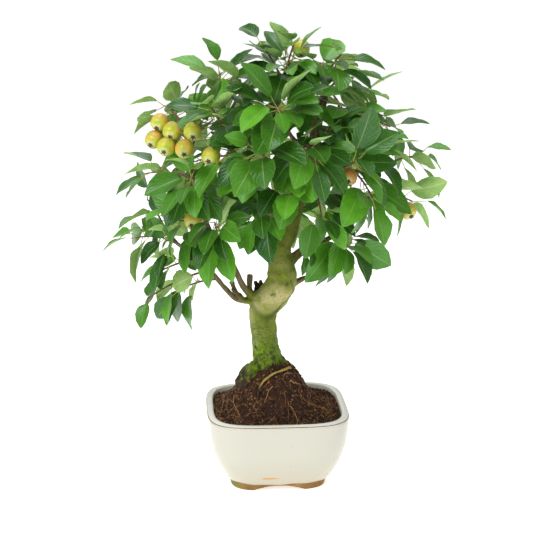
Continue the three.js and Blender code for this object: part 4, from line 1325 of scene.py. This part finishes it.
    def moss(self, wood: Any, strewer: Strewer) -> Any:
        """Moss tufts on the damp side of the trunk's foot."""
        return strewer.strew("moss_cushions", wood, tuft_shape(), Density=600000.0, Seed=11,
                             Smallest=0.5 * MM, Largest=1.4 * MM, Tilt=0.7,
                             Material=MOSS.material())


# ---- soil


@dataclass(frozen=True)
class ShownRoot:
    """A root that lies open on the soil: places over it, its radius, how far it bows and its tone."""

    places: tuple[Pair, ...]
    radius: float
    bow: float
    tone: float


SHOWN_ROOTS: list[ShownRoot] = [ShownRoot(*row) for row in (
    (((-27, -44), (-33, -50), (-38, -58), (-50, -60), (-60, -64)), 1.5, 0.8, 0.0),
    (((-38, -58), (-36, -66), (-28, -72)), 0.9, 0.5, -0.3),
    (((-86, 52), (-90, 20), (-88, -8), (-80, -34)), 0.6, 2.5, 0.6),
    (((-80, 30), (-74, 4), (-78, -24), (-86, -40)), 0.5, 4.0, 0.4),
    (((-60, -12), (-62, -28), (-58, -46), (-54, -58)), 0.7, 1.5, 0.9),
    (((-8, -42), (-14, -48), (-21, -54)), 0.6, 2.5, 1.3),
    (((28, -32), (44, -34), (58, -28), (70, -22), (80, -26)), 0.6, 1.5, 0.5),
    (((34, 20), (52, 8), (66, 12), (84, -4)), 0.5, 2.0, 0.5),
    (((12, -50), (20, -60), (24, -70), (22, -78)), 0.5, 2.0, 0.7),
    (((40, 50), (30, 66), (8, 74), (-20, 70)), 0.6, 2.0, 0.6),
    (((16, -32), (22, -31), (28, -27), (33, -21)), 1.3, 1.2, 0.4),
    (((8, -28), (14, -26), (20, -21), (24, -16)), 0.9, 1.6, 0.3),
)]


@dataclass
class SoilBed:
    """Soil that fills the pot and heaps up round the trunk's foot, with crumbs and fine roots."""

    pot: Pot
    strewer: Strewer
    tubes: TubeMaker
    centre: Pair = (-9.0, 0.0)
    heap_away: tuple[float, ...] = (0, 24, 27, 33, 39.5, 47, 53, 60, 70, 80, 92)
    heap_height: tuple[float, ...] = (170, 166, 163.5, 158, 150.5, 138.5, 127.5, 118, 107.5, 101, 98)
    bared_depth: float = 5.5
    gap: float = 0.3
    rings: int = 116
    sides: int = 330
    fine_roots: int = 760
    rim_z: float = 98.0
    hair_step: float = 2.4
    hair_reach: Pair = (30.0, 90.0)

    def height(self, places: Array) -> Array:
        """Height of the soil with its clods, at rows of x and y."""
        flat = np.column_stack([places[:, :2], np.zeros(len(places))])
        away = places[:, :2] - self.centre
        reach = np.hypot(*away.T)
        heap = np.interp(reach, self.heap_away, self.heap_height)
        # At the left and front the foot of the trunk shows above the soil.
        left_front = unit(away) @ unit(np.array([-1.0, -0.45]))
        bared = smooth_step(0.45, 0.85, left_front) * (1 - smooth_step(50, 66, reach))
        clods = 2.8 * noise_at(flat, 15, 2.0, 4) + 2.0 * noise_at(flat, 4.5, 7.0)
        return heap - self.bared_depth * bared + clods - 0.2

    def ring(self, z: float, inset: float = 0.0) -> Array:
        """A ring along the pot's inside at a height."""
        half = self.pot.body_half(z) - self.pot.wall - self.gap - inset
        return Pot(sides=self.sides).ring(half, z)

    def bed(self) -> Any:
        """The soil's closed mesh."""
        edge = self.ring(self.rim_z)
        middle = (*self.centre, 0)
        top = [middle + (edge - middle) * s for s in np.linspace(1, 0.2, self.rings)]
        heights = self.height(np.vstack(top)).reshape(self.rings, self.sides)
        for ring, z in zip(top, heights):
            ring[:, 2] = z
        low = [self.ring(self.pot.floor_z + 3, 6), self.ring(24.0), self.ring(60.0)]
        points = np.vstack([*low, *top])
        count, n = self.sides, len(top) + len(low)
        first = np.arange(count)
        faces = [list(first[::-1]), *ring_faces(n, count), list((n - 1) * count + first)]
        made = mesh_object("soil_bed", points, faces)
        row = np.repeat(np.arange(n), count)
        store(made, tone=0.3 + 0.25 * noise_at(points, 20, 4.0),
              room=(row > len(low) + 1) & (row < n - 1))
        return made

    def shown_paths(self) -> list[Array]:
        """The paths of the roots that lie open."""
        out = []
        for root in SHOWN_ROOTS:
            shares = np.linspace(0, 1, 22)
            flat = curve(np.array(root.places, float), len(shares))
            arc = np.sin(np.pi * shares)
            lift = root.bow * arc + 1.6 * np.sin(9 * shares) * shares * (1 - shares)
            z = self.height(flat) + lift + root.radius * (1.4 * arc - 0.9)
            out.append(np.column_stack([flat, z, root.radius * (1 - 0.45 * shares)]))
        return out

    def hair_paths(self) -> list[Array]:
        """The paths of the many hair roots that curl over the soil."""
        draw = np.random.default_rng(71)
        out = []
        limit = self.pot.half - self.pot.wall - 4
        for _ in range(self.fine_roots):
            steps = int(draw.integers(5, 11))
            turn = draw.uniform(0, math.tau)
            away = lerp(*self.hair_reach, math.sqrt(draw.uniform()))
            begin = self.centre + away * np.array([math.cos(turn), math.sin(turn)])
            heading = turn + draw.uniform(-2.6, 2.6) + np.cumsum(
                draw.normal(0, 0.12) + draw.normal(0, 0.22, steps))
            steps_on = self.hair_step * np.column_stack([np.cos(heading), np.sin(heading)])
            flat = np.clip(begin + np.cumsum(steps_on, axis=0), -limit, limit)
            bow = np.sin(np.pi * np.linspace(0, 1, steps))
            z = self.height(flat) - 0.9 + (1.3 + draw.uniform(0, 2.6)) * bow
            radius = draw.uniform(0.12, 0.34) * np.linspace(1, 0.5, steps)
            out.append(np.column_stack([flat, z, radius]))
        return out

    def build(self) -> Any:
        """Makes the soil with its crumbs."""
        bed, earth = self.bed(), DampSoil().material()
        bed.data.materials.append(earth)
        crumbs = self.strewer.strew("crumbs", bed, crumb_shape(), Density=62000.0, Seed=3,
                                    Smallest=0.8 * MM, Largest=4 * MM, Tilt=3.1, Material=earth)
        return joined("soil_bed", [bed, crumbs])

    def roots(self) -> Any:
        """Makes the fine roots on the soil as one piece."""
        draw = np.random.default_rng(72)
        shown, hairs = self.shown_paths(), self.hair_paths()
        tones = draw.uniform(-0.7, 1.2, len(hairs))
        # Roots before the trunk are given darker tones.
        off = np.array([path[:, :2].mean(axis=0) for path in hairs]) - (5, -42)
        tones -= 0.6 * np.exp(-((off / (42, 32)) ** 2).sum(axis=1))
        tones = [*(root.tone for root in SHOWN_ROOTS), *tones]
        return self.tubes.make("fine_roots", shown + hairs, 5, ROOT_FIBRE.material(), tone=tones)


# ---- leaves


@dataclass(frozen=True)
class LeafPlan:
    """Place and form of one leaf."""

    root: Array
    base: Array
    along: Array
    up: Array
    side: Array
    length: float
    half_width: float
    fold: float
    bend: float
    young: bool

    def midline(self, share: Array | float) -> tuple[Array, Array]:
        """Places on the midline by their share of its length, with where the blade faces there."""
        share = np.atleast_1d(share)[:, None]
        sag = self.bend * share
        places = self.base + self.length * (self.along * share - self.up * sag * share)
        return places, unit(self.up + self.along * 2 * sag)

    def tip(self) -> Array:
        """The place of the tip."""
        return self.midline(1.0)[0][0]

    def spread_places(self) -> Array:
        """Places all over the blade."""
        share, across = (grid.ravel() for grid in np.meshgrid(
            np.linspace(0.06, 0.97, 12), (-0.95, -0.6, -0.2, 0.2, 0.6, 0.95)))
        places, faces = self.midline(share)
        reach = (across * self.half_width * blade_width(share))[:, None]
        return (places + self.side * reach * math.cos(self.fold)
                + faces * np.abs(reach) * math.sin(self.fold))


def blade_width(share: Array) -> Array:
    """Half width of a blade by the share of its length: widest low down, drawn out at the tip."""
    share = np.clip(share, 0, 1)
    return np.sin(np.pi * share ** 0.84) ** 0.68 * (1 - 0.25 * smooth_step(0.8, 1.0, share))


@dataclass
class Foliage:
    """The leafy shoots, each with the solids' leaves and more between them."""

    tubes: TubeMaker
    rows: int = 10
    columns: int = 4
    tries: int = 30
    same_mm: float = 0.15
    more: float = 2.0
    more_tries: int = 14
    more_seed: int = 700000
    tone_seed: int = 100
    cell_mm: float = 4.2
    blade_mm: float = 50.0
    blade_ratio: float = 0.66
    stalk_mm: float = 19.0
    wave_turn: float = 9.0
    wave_shift: float = 1.3
    cup: float = 1.4
    bright_above: float = 565.0
    crown_centre: Triple = (0.0, 0.0, 410.0)
    core_centre: Pair = (4.0, 436.0)
    core_half: Pair = (166.0, 168.0)
    most_hidden: int = 7
    shown_fruits: tuple[str, ...] = ("bunch_left", "right_orange", "left_front")
    # How far leaves keep from a fruit's middle, from bark and from a twig's middle.
    fruit_room: float = 13.0
    bark_room: float = 1.5
    twig_room: float = 2.5
    # Which way a shown fruit is seen from, and how wide the gap before it is.
    sight: Triple = (-0.02, -0.98, 0.16)
    sight_radius: float = 9.0
    filled: set = field(default_factory=set)
    open_front: set = field(default_factory=set)

    def foot_on(self, branch: str, at: float) -> tuple[Array, float]:
        """The place on a branch that a shoot grows from, with the wood's radius there."""
        rows = np.array(BRANCHES[branch], float)
        span = at * (len(rows) - 1)
        k = min(int(span), len(rows) - 2)
        return catmull(rows, at)[:3], lerp(rows[k, 3], rows[k + 1, 3], span - k)

    def stem(self, shoot: Shoot) -> tuple[Array, Array, Array, float]:
        """The shoot's curve, as three points, and the share of it where its free part starts."""
        foot, radius = self.foot_on(shoot.branch, shoot.at)
        tip = np.array(shoot.tip, float)
        length = np.linalg.norm(tip - foot)
        control = (foot + tip) / 2 + UP * 0.12 * length
        return foot, control, tip, (radius + 2.5) / length

    def plan(self, shoot: Shoot, number: int, index: int, attempt: int, order: float,
             seed_shift: int = 0) -> LeafPlan:
        """Place and form of one leaf, by the rule that the solids' leaves are placed with.

        Args:
            shoot: The leaf's shoot.
            number: The shoot's number.
            index: The leaf's number on the shoot, from the tip.
            attempt: The number of the try at this leaf.
            order: Where the leaf stands, from 0 at the shoot's tip to 1 at its foot.
            seed_shift: Added to the seed of leaves that the solids don't have.

        Returns:
            The leaf's plan.
        """
        draw = seeded(number * 4096 + index * 64 + attempt + seed_shift)
        foot, control, tip, start = self.stem(shoot)
        free = lerp(start, 1, lerp(0.98, 0.18, order))
        root = bezier(foot, control, tip, free)
        stem = unit(bezier(foot, control, tip, min(free + 1e-4, 1))
                    - bezier(foot, control, tip, free - 1e-4))
        turn = math.radians(number * 61 + index * 137.5 + attempt * 47 + 24 * draw())
        lean = math.radians(lerp(28, 74, math.sqrt(order)) + 16 * draw())
        level, above = square_to(stem)
        outward_turn = level * math.cos(turn) + above * math.sin(turn)
        petiole = unit(stem * math.cos(lean) + outward_turn * math.sin(lean))
        outward = unit(root - self.crown_centre)
        drop = lerp(*((-0.05, 0.8) if seed_shift else (0.15, 0.9)), draw())
        along = unit(petiole + 0.35 * outward - UP * drop)
        face = outward * 0.75 + UP * 0.6 + 0.9 * np.array([draw() - 0.5 for _ in range(3)])
        if seed_shift:
            face += UP * 0.25 - TO_FRONT * 0.2
        up = unit(face - along * (face @ along))
        young = index < 2 and seed_shift == 0
        smaller = 0.72 + 0.12 * (index % 4) if seed_shift else 0.8 if young else 1
        length = self.blade_mm * shoot.size * smaller * lerp(0.84, 1.18, draw())
        return LeafPlan(
            root, root + petiole * self.stalk_mm * lerp(0.75, 1.2, draw()), along, up,
            np.cross(along, up), length, 0.5 * length * self.blade_ratio * lerp(0.88, 1.1, draw()),
            math.radians(lerp(8, 24, draw())), lerp(0.06, 0.3, draw()), young)

    def cells(self, places: Array) -> set:
        """The cells of the crown that places lie in."""
        return {tuple(cell) for cell in np.floor(places / self.cell_mm).astype(int)}

    def known_leaves(self, shoot: Shoot, number: int) -> list[LeafPlan]:
        """The leaves of the shoot's solid, found by their tips, that leave the front open."""
        co = co_of(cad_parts[f"shoot_{shoot.name}"])
        found = []
        for index in range(shoot.leaves):
            for attempt in range(self.tries):
                leaf = self.plan(shoot, number, index, attempt, index / shoot.leaves)
                if np.linalg.norm(co - leaf.tip(), axis=1).min() < self.same_mm:
                    found.append(leaf)
                    break
        return [leaf for leaf in found
                if len(self.cells(leaf.spread_places()) & self.open_front) < self.most_hidden]

    def more_leaves(self, shoot: Shoot, number: int, count: int) -> list[LeafPlan]:
        """Leaves between those of the solid, each where the crown still has room."""
        made = []
        for index in range(count):
            for attempt in range(self.more_tries):
                order = (index + 0.5) / count
                leaf = self.plan(shoot, number, index, attempt, order, seed_shift=self.more_seed)
                cells = self.cells(leaf.spread_places())
                if len(cells & self.filled) <= 1 and self.inside(leaf, number < len(SHOOTS)):
                    self.filled |= cells
                    made.append(leaf)
                    break
        return made

    def inside(self, leaf: LeafPlan, crown: bool) -> bool:
        """Tells whether a leaf stays in the box of the solids, and of the crown's core if asked."""
        low, high = (np.array(corner) / MM for corner in CAD_BOX)
        places = leaf.spread_places()
        off = (leaf.tip()[[0, 2]] - self.core_centre) / self.core_half
        boxed = (places > low + 1).all() and (places < high - 1).all()
        return bool(boxed and (not crown or off @ off < 1))

    def template(self) -> Any:
        """A flat blade of 82 faces in its own measures: across, share of the length, and depth.

        Both sides have the same rows and columns, so that neither cuts through the other. The
        upper side has the first faces.
        """
        turn = np.linspace(0, 1, self.rows + 1)
        share = turn - 0.3 * np.sin(math.tau * turn) / (math.tau)
        width = blade_width(share)
        width[0], width[-1] = 0.12, 0.03
        form, blade, number = [], [], {}
        for under in (0, 1):
            for r, (s, w) in enumerate(zip(share, width)):
                for c, a in enumerate(np.linspace(-1, 1, self.columns + 1)):
                    edge = c in (0, self.columns)
                    if under and edge:
                        number[under, r, c] = number[0, r, c]
                        continue
                    tooth = edge * (0.025 if r % 2 else -0.02)
                    depth = under * (1 - abs(a)) * (1.2 - 0.7 * s) * MM
                    number[under, r, c] = len(form)
                    form.append((a * w * (1 + tooth), s + 0.3 * max(tooth, 0), depth))
                    blade.append((a, s, 0.0))
        faces = []
        for under in (0, 1):
            for r in range(self.rows):
                for c in range(self.columns):
                    ring = [number[under, r, c], number[under, r, c + 1],
                            number[under, r + 1, c + 1], number[under, r + 1, c]]
                    faces.append([ring[0], *ring[:0:-1]] if under else ring)
        for r in (0, self.rows):
            above = [number[0, r, c] for c in range(self.columns + 1)]
            below = [number[1, r, c] for c in range(1, self.columns)]
            faces.append(above[::-1] + below if r == 0 else above + below[::-1])
        made = mesh_object("blade_template", np.array(form) / MM, faces)
        store(made, form=np.array(form), blade=np.array(blade))
        rims = {frozenset((number[0, r, c], number[0, r + 1, c]))
                for r in range(self.rows) for c in (0, self.columns)}
        for name, domain, values in (
                ("under", "FACE", np.arange(len(faces)) >= self.rows * self.columns),
                ("sharp_edge", "EDGE", [frozenset(e.vertices) in rims for e in made.data.edges])):
            made.data.attributes.new(name, "BOOLEAN", domain).data.foreach_set("value", values)
        return made

    def blade_tree(self) -> NodeTree:
        """The tree that sets a blade on each point and bends it to the point's leaf."""
        vectors = dict.fromkeys(("form", "base", "run", "sag", "face", "over", "spread"),
                                "FLOAT_VECTOR")
        numbers = dict.fromkeys(("rise", "ripple", "phase", "twist"), "FLOAT")
        t = Shaper("blades on their stalks", {**vectors, **numbers, "under": "BOOLEAN"},
                   Blade="Object", Upper="Material", Lower="Material")
        blade = t.add("ObjectInfo", {"Object": "Blade"})
        copies = t.add("InstanceOnPoints", {
            "Points": "Geometry", "Instance": blade.outputs["Geometry"]})
        plain = t.add("RealizeInstances", {"Geometry": copies})
        t.work_out(
            ("across share depth", "SeparateXYZ", "form"), ("away", "Math ABSOLUTE", "across"),
            # The midline runs ahead and sags, and the blade leans over with it.
            ("squared", "Math MULTIPLY", "share", "share"),
            ("ahead", "VectorMath SCALE", "run", "share"),
            ("down", "VectorMath SCALE", "sag", "squared"),
            ("first", "VectorMath ADD", "base", "ahead"),
            ("middle", "VectorMath ADD", "first", "down"),
            ("tilt", "VectorMath SCALE", "over", "share"),
            ("leaned", "VectorMath ADD", "face", "tilt"),
            ("faced", "VectorMath NORMALIZE", "leaned"),
            # Both halves twist with the midline.
            ("angle", "Math MULTIPLY", "twist", "share"),
            ("wide", "VectorMath SCALE", "spread", "across"),
            ("turned", "VectorRotate", "wide", "run", "angle"),
            ("upward", "VectorRotate", "faced", "run", "angle"),
            # The margins fold up and ripple, each half in its own way.
            ("waves", "Math MULTIPLY_ADD", "share", self.wave_turn, "phase"),
            ("half", "Math SIGN", "across"),
            ("shifted", "Math MULTIPLY_ADD", "half", self.wave_shift, "waves"),
            ("swing", "Math SINE", "shifted"),
            ("wavy", "Math MULTIPLY_ADD", "swing", "ripple", "rise"),
            ("cupped", "Math POWER", "away", self.cup),
            ("lifted", "Math MULTIPLY", "wavy", "cupped"),
            ("height", "Math SUBTRACT", "lifted", "depth"),
            ("high", "VectorMath SCALE", "upward", "height"),
            ("outer", "VectorMath ADD", "middle", "turned"),
            ("place", "VectorMath ADD", "outer", "high"))
        moved = t.add("SetPosition", {"Geometry": plain, "Position": "place"})
        return t.finish(moved, Upper=True, Lower="under")

    def blades(self, leaves: list[LeafPlan], seed: int) -> Any:
        """The blades of a shoot as one mesh.

        Args:
            leaves: The leaves' plans.
            seed: Seeds each leaf's tone, twist and ripple.

        Returns:
            The object.
        """
        count = len(leaves)
        base, along, up, side, size, half, fold, bend, young = (
            np.array([getattr(leaf, key) for leaf in leaves]) for key in (
                "base", "along", "up", "side", "length", "half_width", "fold", "bend", "young"))
        draw = np.random.default_rng(seed)
        size, half = size * MM, half * MM
        made = mesh_object("blades", base, [])
        store(made, base=base * MM, run=along * size[:, None], sag=-up * (size * bend)[:, None],
              face=up, over=along * (2 * bend)[:, None],
              spread=side * (half * np.cos(fold))[:, None], rise=half * np.sin(fold),
              ripple=half * draw.uniform(0.03, 0.11, count), phase=draw.uniform(0, 6.28, count),
              twist=draw.uniform(-0.25, 0.25, count))
        tone = 0.66 * draw.beta(0.8, 1.2, count)
        bright = young & (base[:, 2] > self.bright_above) & (draw.uniform(0, 1, count) < 0.4)
        store(made, tone=np.where(bright, draw.uniform(0.75, 1, count), tone))
        return with_nodes(made, self.tree, {
            "Blade": self.blade, "Upper": self.upper, "Lower": self.lower})

    def stems(self, shoot: Shoot, leaves: list[LeafPlan]) -> Any:
        """The shoot's twig and the leaves' stalks as one mesh of tubes."""
        foot, control, tip, _ = self.stem(shoot)
        paths, woody = [bent((foot, control, tip), (1.8, 0.95), 12)], [1.0]
        for leaf in leaves:
            sag = (leaf.root + leaf.base) / 2 - UP * 0.8
            places, faces = leaf.midline(np.array([0.06, 0.22]))
            rib = np.column_stack([places - faces * 0.5, (0.45, 0.3)])
            paths.append(np.vstack([bent((leaf.root, sag, leaf.base), (0.7, 0.5), 5), rib]))
            woody.append(0.0)
        return self.tubes.make("stems", paths, 6, self.stem_skin, woody=woody)

    def keep_wood_clear(self) -> None:
        """Marks the cells of the wood, the twigs and the fruits as filled."""
        balls = [(centre, self.fruit_room) for group in FRUITS for centre in group.centres]
        for stations in (*BRANCHES.values(), *STUBS.values()):
            rows = np.array(stations, float)
            count = int(np.linalg.norm(rows[-1, :3] - rows[0, :3]) / 5) + 2
            balls += [(place, radius + self.bark_room) for *place, radius in curve(rows, count)]
        for shoot in SHOOTS + SPRAYS:
            foot, control, tip, _ = self.stem(shoot)
            balls += [(bezier(foot, control, tip, share), self.twig_room)
                      for share in np.linspace(0, 1, 16)]
        self.filled.update(*(self.ball(*each) for each in balls))

    def keep_front_open(self) -> None:
        """Marks the cells where the crown parts before the upper trunk and the best fruits."""
        for height in np.linspace(0, 1, 7):
            for depth in np.linspace(24, 120, 9):
                place = (lerp(8, 26, height), -depth, lerp(322, 392, height))
                self.open_front |= self.ball(place + UP * 0.22 * depth, 10.0)
        shown = [group.centres for group in FRUITS if group.name in self.shown_fruits]
        for centre in np.vstack(shown):
            for away in range(14, 66, 8):
                place = centre + away * np.array(self.sight)
                self.open_front |= self.ball(place, self.sight_radius)

    def ball(self, centre: Array, radius: float) -> set:
        """The cells of a ball."""
        reach = np.arange(-radius, radius + 1, 2.2)
        grid = np.stack(np.meshgrid(reach, reach, reach), axis=-1).reshape(-1, 3)
        return self.cells(grid[np.linalg.norm(grid, axis=1) <= radius] + centre)

    def build(self) -> None:
        """Makes every shoot, with the solids' leaves first so that the others keep clear."""
        self.blade = self.template()
        self.tree = self.blade_tree()
        self.upper, self.lower = (LeafSkin(side).material() for side in LeafSide)
        self.stem_skin = GreenStem().material()
        self.keep_front_open()
        known = [self.known_leaves(shoot, number) for number, shoot in enumerate(SHOOTS)]
        self.filled |= self.open_front.union(*(
            self.cells(leaf.spread_places()) for group in known for leaf in group))
        self.keep_wood_clear()
        total = 0
        known += [[]] * len(SPRAYS)
        for number, (shoot, given) in enumerate(zip(SHOOTS + SPRAYS, known)):
            solid = number < len(SHOOTS)
            count = round(shoot.leaves * self.more) if solid else shoot.leaves
            leaves = given + self.more_leaves(shoot, number, count)
            parts = [self.blades(leaves, self.tone_seed + number), self.stems(shoot, leaves)]
            piece = joined(f"leafy_{shoot.name}", parts)
            finish_piece(piece, "leaf", *([f"shoot_{shoot.name}"] if solid else []))
            total += len(leaves)
        log.info("foliage: %d leaves, %d of them of the solids", total, sum(map(len, known)))
        bpy.data.objects.remove(self.blade)


# ---- fruits


@dataclass
class Fruits:
    """The crabapples with stalks and dry calyces."""

    tubes: TubeMaker
    foliage: Foliage
    radius: float = 12.0
    rings: int = 26
    segments: int = 30
    lean: Triple = (-0.3, -1.6, 0.0)

    def profile(self) -> Array:
        """Radius and height of the skin, from the stalk's hollow to the calyx, in fruit radii."""
        marks = np.array([(0.02, -0.7), (0.14, -0.76), (0.34, -0.87), (0.62, -0.84), (0.86, -0.6),
                          (0.985, -0.22), (0.99, 0.1), (0.93, 0.4), (0.78, 0.66), (0.55, 0.84),
                          (0.34, 0.93), (0.2, 0.92), (0.02, 0.88)])
        return curve(marks, self.rings)

    def template(self) -> Any:
        """One fruit's skin, hanging with its calyx down, with five soft lobes at the calyx."""
        angle = math.tau * np.arange(self.segments) / self.segments
        reach, down = (row[:, None] for row in self.profile().T)
        reach = reach * (1 + 0.035 * np.cos(5 * angle) * smooth_step(-0.2, 0.9, down))
        rings = np.stack([reach * np.cos(angle), reach * np.sin(angle), 0 * angle - down], axis=-1)
        co = rings.reshape(-1, 3) * self.radius
        first = np.arange(self.segments)
        faces = [list(first), *(face[::-1] for face in ring_faces(self.rings, self.segments)),
                 list((self.rings - 1) * self.segments + first[::-1])]
        made = mesh_object("fruit_template", co, faces)
        store(made, end=np.repeat(np.linspace(0, 1, self.rings), self.segments))
        return made

    def calyx(self, centre: Array, axis: Array, turn: float) -> list[Array]:
        """Five curled sepals and a tuft of stamens, as tapering tubes."""
        u, w = square_to(axis)
        paths = []
        for count, shift, rows in (
                (5, 0.0, [(1.4, 10.4, 0.9), (2.2, 11.8, 0.9), (3.2, 12.8, 0.65), (4.0, 13.2, 0.2)]),
                (7, 1.0, [(0.6, 10.0, 0.35), (1.0, 12.4, 0.3), (1.8, 14.0, 0.4)])):
            for k in range(count):
                a = turn + shift + math.tau * k / count
                out = u * math.cos(a) + w * math.sin(a)
                paths.append(np.array([[*(centre + out * x + axis * y), r] for x, y, r in rows]))
        return paths

    def copies_tree(self) -> NodeTree:
        """The tree that hangs a fruit on each point, turned by the point's own angles."""
        t = Shaper("fruits on their stalks", {"turn": "FLOAT_VECTOR", "size": "FLOAT_VECTOR"},
                   Fruit="Object", Material="Material")
        fruit = t.add("ObjectInfo", {"Object": "Fruit"})
        copies = t.add("InstanceOnPoints", {
            "Points": "Geometry", "Instance": fruit.outputs["Geometry"],
            "Rotation": "turn", "Scale": "size"})
        return t.finish(copies, Material=True)

    def hub_of(self, group: FruitGroup) -> tuple[Array, list[Array]]:
        """Where a group's stalks meet, with the path of the stem to it where there is one."""
        foot, radius = self.foliage.foot_on(group.branch, group.at)
        if len(group.centres) == 1:
            return foot, []
        middle = np.mean(group.centres, axis=0)
        share = (radius + 14) / np.linalg.norm(middle - foot)
        tip = foot + (middle - foot) * share + UP * 4
        control = (foot + tip) / 2 + UP * 0.12 * np.linalg.norm(tip - foot)
        return tip, [bent((foot, control, tip), (1.8, 1.4), 6)]

    def build(self) -> None:
        """Makes each group of fruits."""
        template, tree = self.template(), self.copies_tree()
        skin, dry = FruitSkin().material(), CALYX.material()
        for number, group in enumerate(FRUITS):
            draw = np.random.default_rng(500 + number)
            hub, stalks = self.hub_of(group)
            centres = np.array(group.centres, float)
            turns, calyces = [], []
            for centre in centres:
                away = (centre - hub) * (0.016, 0.016, 0)
                axis = unit(away + self.lean - UP)
                head = centre - axis * 0.6 * self.radius
                control = head - axis * 0.55 * np.linalg.norm(head - hub)
                stalks.append(bent((hub, control, head), (0.85, 0.85), 12))
                spin = draw.uniform(0, 6.28)
                turns.append(list(Vector(-axis).to_track_quat("Z", "Y").to_euler()))
                calyces += self.calyx(centre, axis, spin)
            fruit = mesh_object("skins", centres, [])
            sizes = draw.uniform(0.98, 1.06, (len(centres), 1)) * np.ones(3)
            blush = draw.uniform(-0.12, 0.12, len(centres)) + group.ripeness.value
            store(fruit, turn=np.array(turns), size=sizes, blush=blush)
            skins = with_nodes(fruit, tree, {"Fruit": template, "Material": skin})
            stalk = self.tubes.make("stalks", stalks, 8, self.foliage.stem_skin,
                                    woody=[0.1] * len(stalks))
            tips = self.tubes.make("calyces", calyces, 6, dry, tone=draw.uniform(0, 1, len(calyces)))
            piece = joined(f"apples_{group.name}", [skins, stalk, tips])
            finish_piece(piece, "fruit_skin", f"fruit_{group.name}")
        bpy.data.objects.remove(template)


# ---- studio


@dataclass
class Studio:
    """Pale floor, soft light and the camera."""

    camera_place: Triple = (-138.8, -1880.1, 754.0)
    heading_deg: float = 3.8
    pitch_deg: float = 13.4
    focal_px: float = 1393.0
    frame_px: float = 533.0
    sensor_mm: float = 36.0
    floor_half: float = 60000.0
    floor_cells: int = 32
    floor_light: float = 0.65
    room_light: float = 0.38
    aim: Triple = (0.0, 0.0, 330.0)
    # The name, place, width and power in watts of each light.
    lamps: tuple[tuple[str, Triple, float, float], ...] = (
        ("key", (-1500, -1900, 2300), 1700, 57), ("fill", (1900, -1500, 1300), 1700, 6),
        ("top", (100, 300, 2700), 1500, 26), ("back", (-500, 2300, 2100), 2200, 14))

    def camera(self) -> None:
        """Sets the camera."""
        data = bpy.data.cameras.new("camera")
        data.sensor_width = self.sensor_mm
        data.lens = self.sensor_mm * self.focal_px / self.frame_px
        data.clip_end = 100
        made = in_scene("camera", data)
        made.location = Vector(self.camera_place) * MM
        made.rotation_euler = (math.radians(90 - self.pitch_deg), 0, -math.radians(self.heading_deg))
        bpy.context.scene.camera = made

    def floor(self) -> None:
        """A wide pale floor that reaches past the top of the view."""
        count = self.floor_cells + 1
        marks = np.linspace(-self.floor_half, self.floor_half, count)
        across, along = (grid.ravel() for grid in np.meshgrid(marks, marks))
        corners = np.column_stack([across, along, np.zeros(len(across))])
        first = [r * count + c for r in range(count - 1) for c in range(count - 1)]
        made = mesh_object("studio_floor", corners, [[k, k + 1, k + count + 1, k + count]
                                                     for k in first])
        s = Surface("painted floor, matt white", dust=(900, 3, 0.5))
        colour = s.paint("#FAFAF8", ("dust", 0.3, 0.7, 1, "#F6F6F4"))
        # Matt paint keeps the shadow soft, and its own faint light keeps the far floor white.
        made.data.materials.append(s.finish(
            colour, None, Roughness=0.95, Specular_IOR_Level=0.1, Emission_Color="#FFFFFF",
            Emission_Strength=self.floor_light))

    def lights(self) -> None:
        """A large soft key from the upper left, weaker lights around and a bright room."""
        for name, place, size, power in self.lamps:
            data = bpy.data.lights.new(name, "AREA")
            data.size = size * MM
            data.energy = power
            made = in_scene(name, data)
            made.location = Vector(place) * MM
            aim = Vector(self.aim) * MM - made.location
            made.rotation_euler = aim.to_track_quat("-Z", "Y").to_euler()
        world = bpy.data.worlds.new("bright room")
        world.use_nodes = True
        Graph(world.node_tree).put(world.node_tree.nodes["Background"], {
            "Color": "#FFFFFF", "Strength": self.room_light})
        bpy.context.scene.world = world
        bpy.context.scene.view_settings.view_transform = "Standard"


def main() -> None:
    """Builds the bonsai piece by piece."""
    logging.basicConfig(level=logging.INFO, format="%(name)s: %(message)s")
    studio = Studio()
    studio.camera()
    studio.floor()
    studio.lights()
    tubes, strewer, pot, wood = TubeMaker(), Strewer(), Pot(), Wood()
    finish_piece(pot.build(), "glazed_stoneware", "pot")
    soil = SoilBed(pot, strewer, tubes)
    finish_piece(soil.build(), "moist_soil", "soil")
    finish_piece(soil.roots(), "bark")
    tree = wood.build()
    finish_piece(tree, "bark", "trunk")
    finish_piece(wood.moss(tree, strewer), "leaf")
    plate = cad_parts["drainage_mesh"]
    plate.data.materials.clear()
    plate.data.materials.append(BLACK_PLASTIC.material())
    foliage = Foliage(tubes)
    foliage.build()
    Fruits(tubes, foliage).build()


if __name__ == "__main__":
    main()
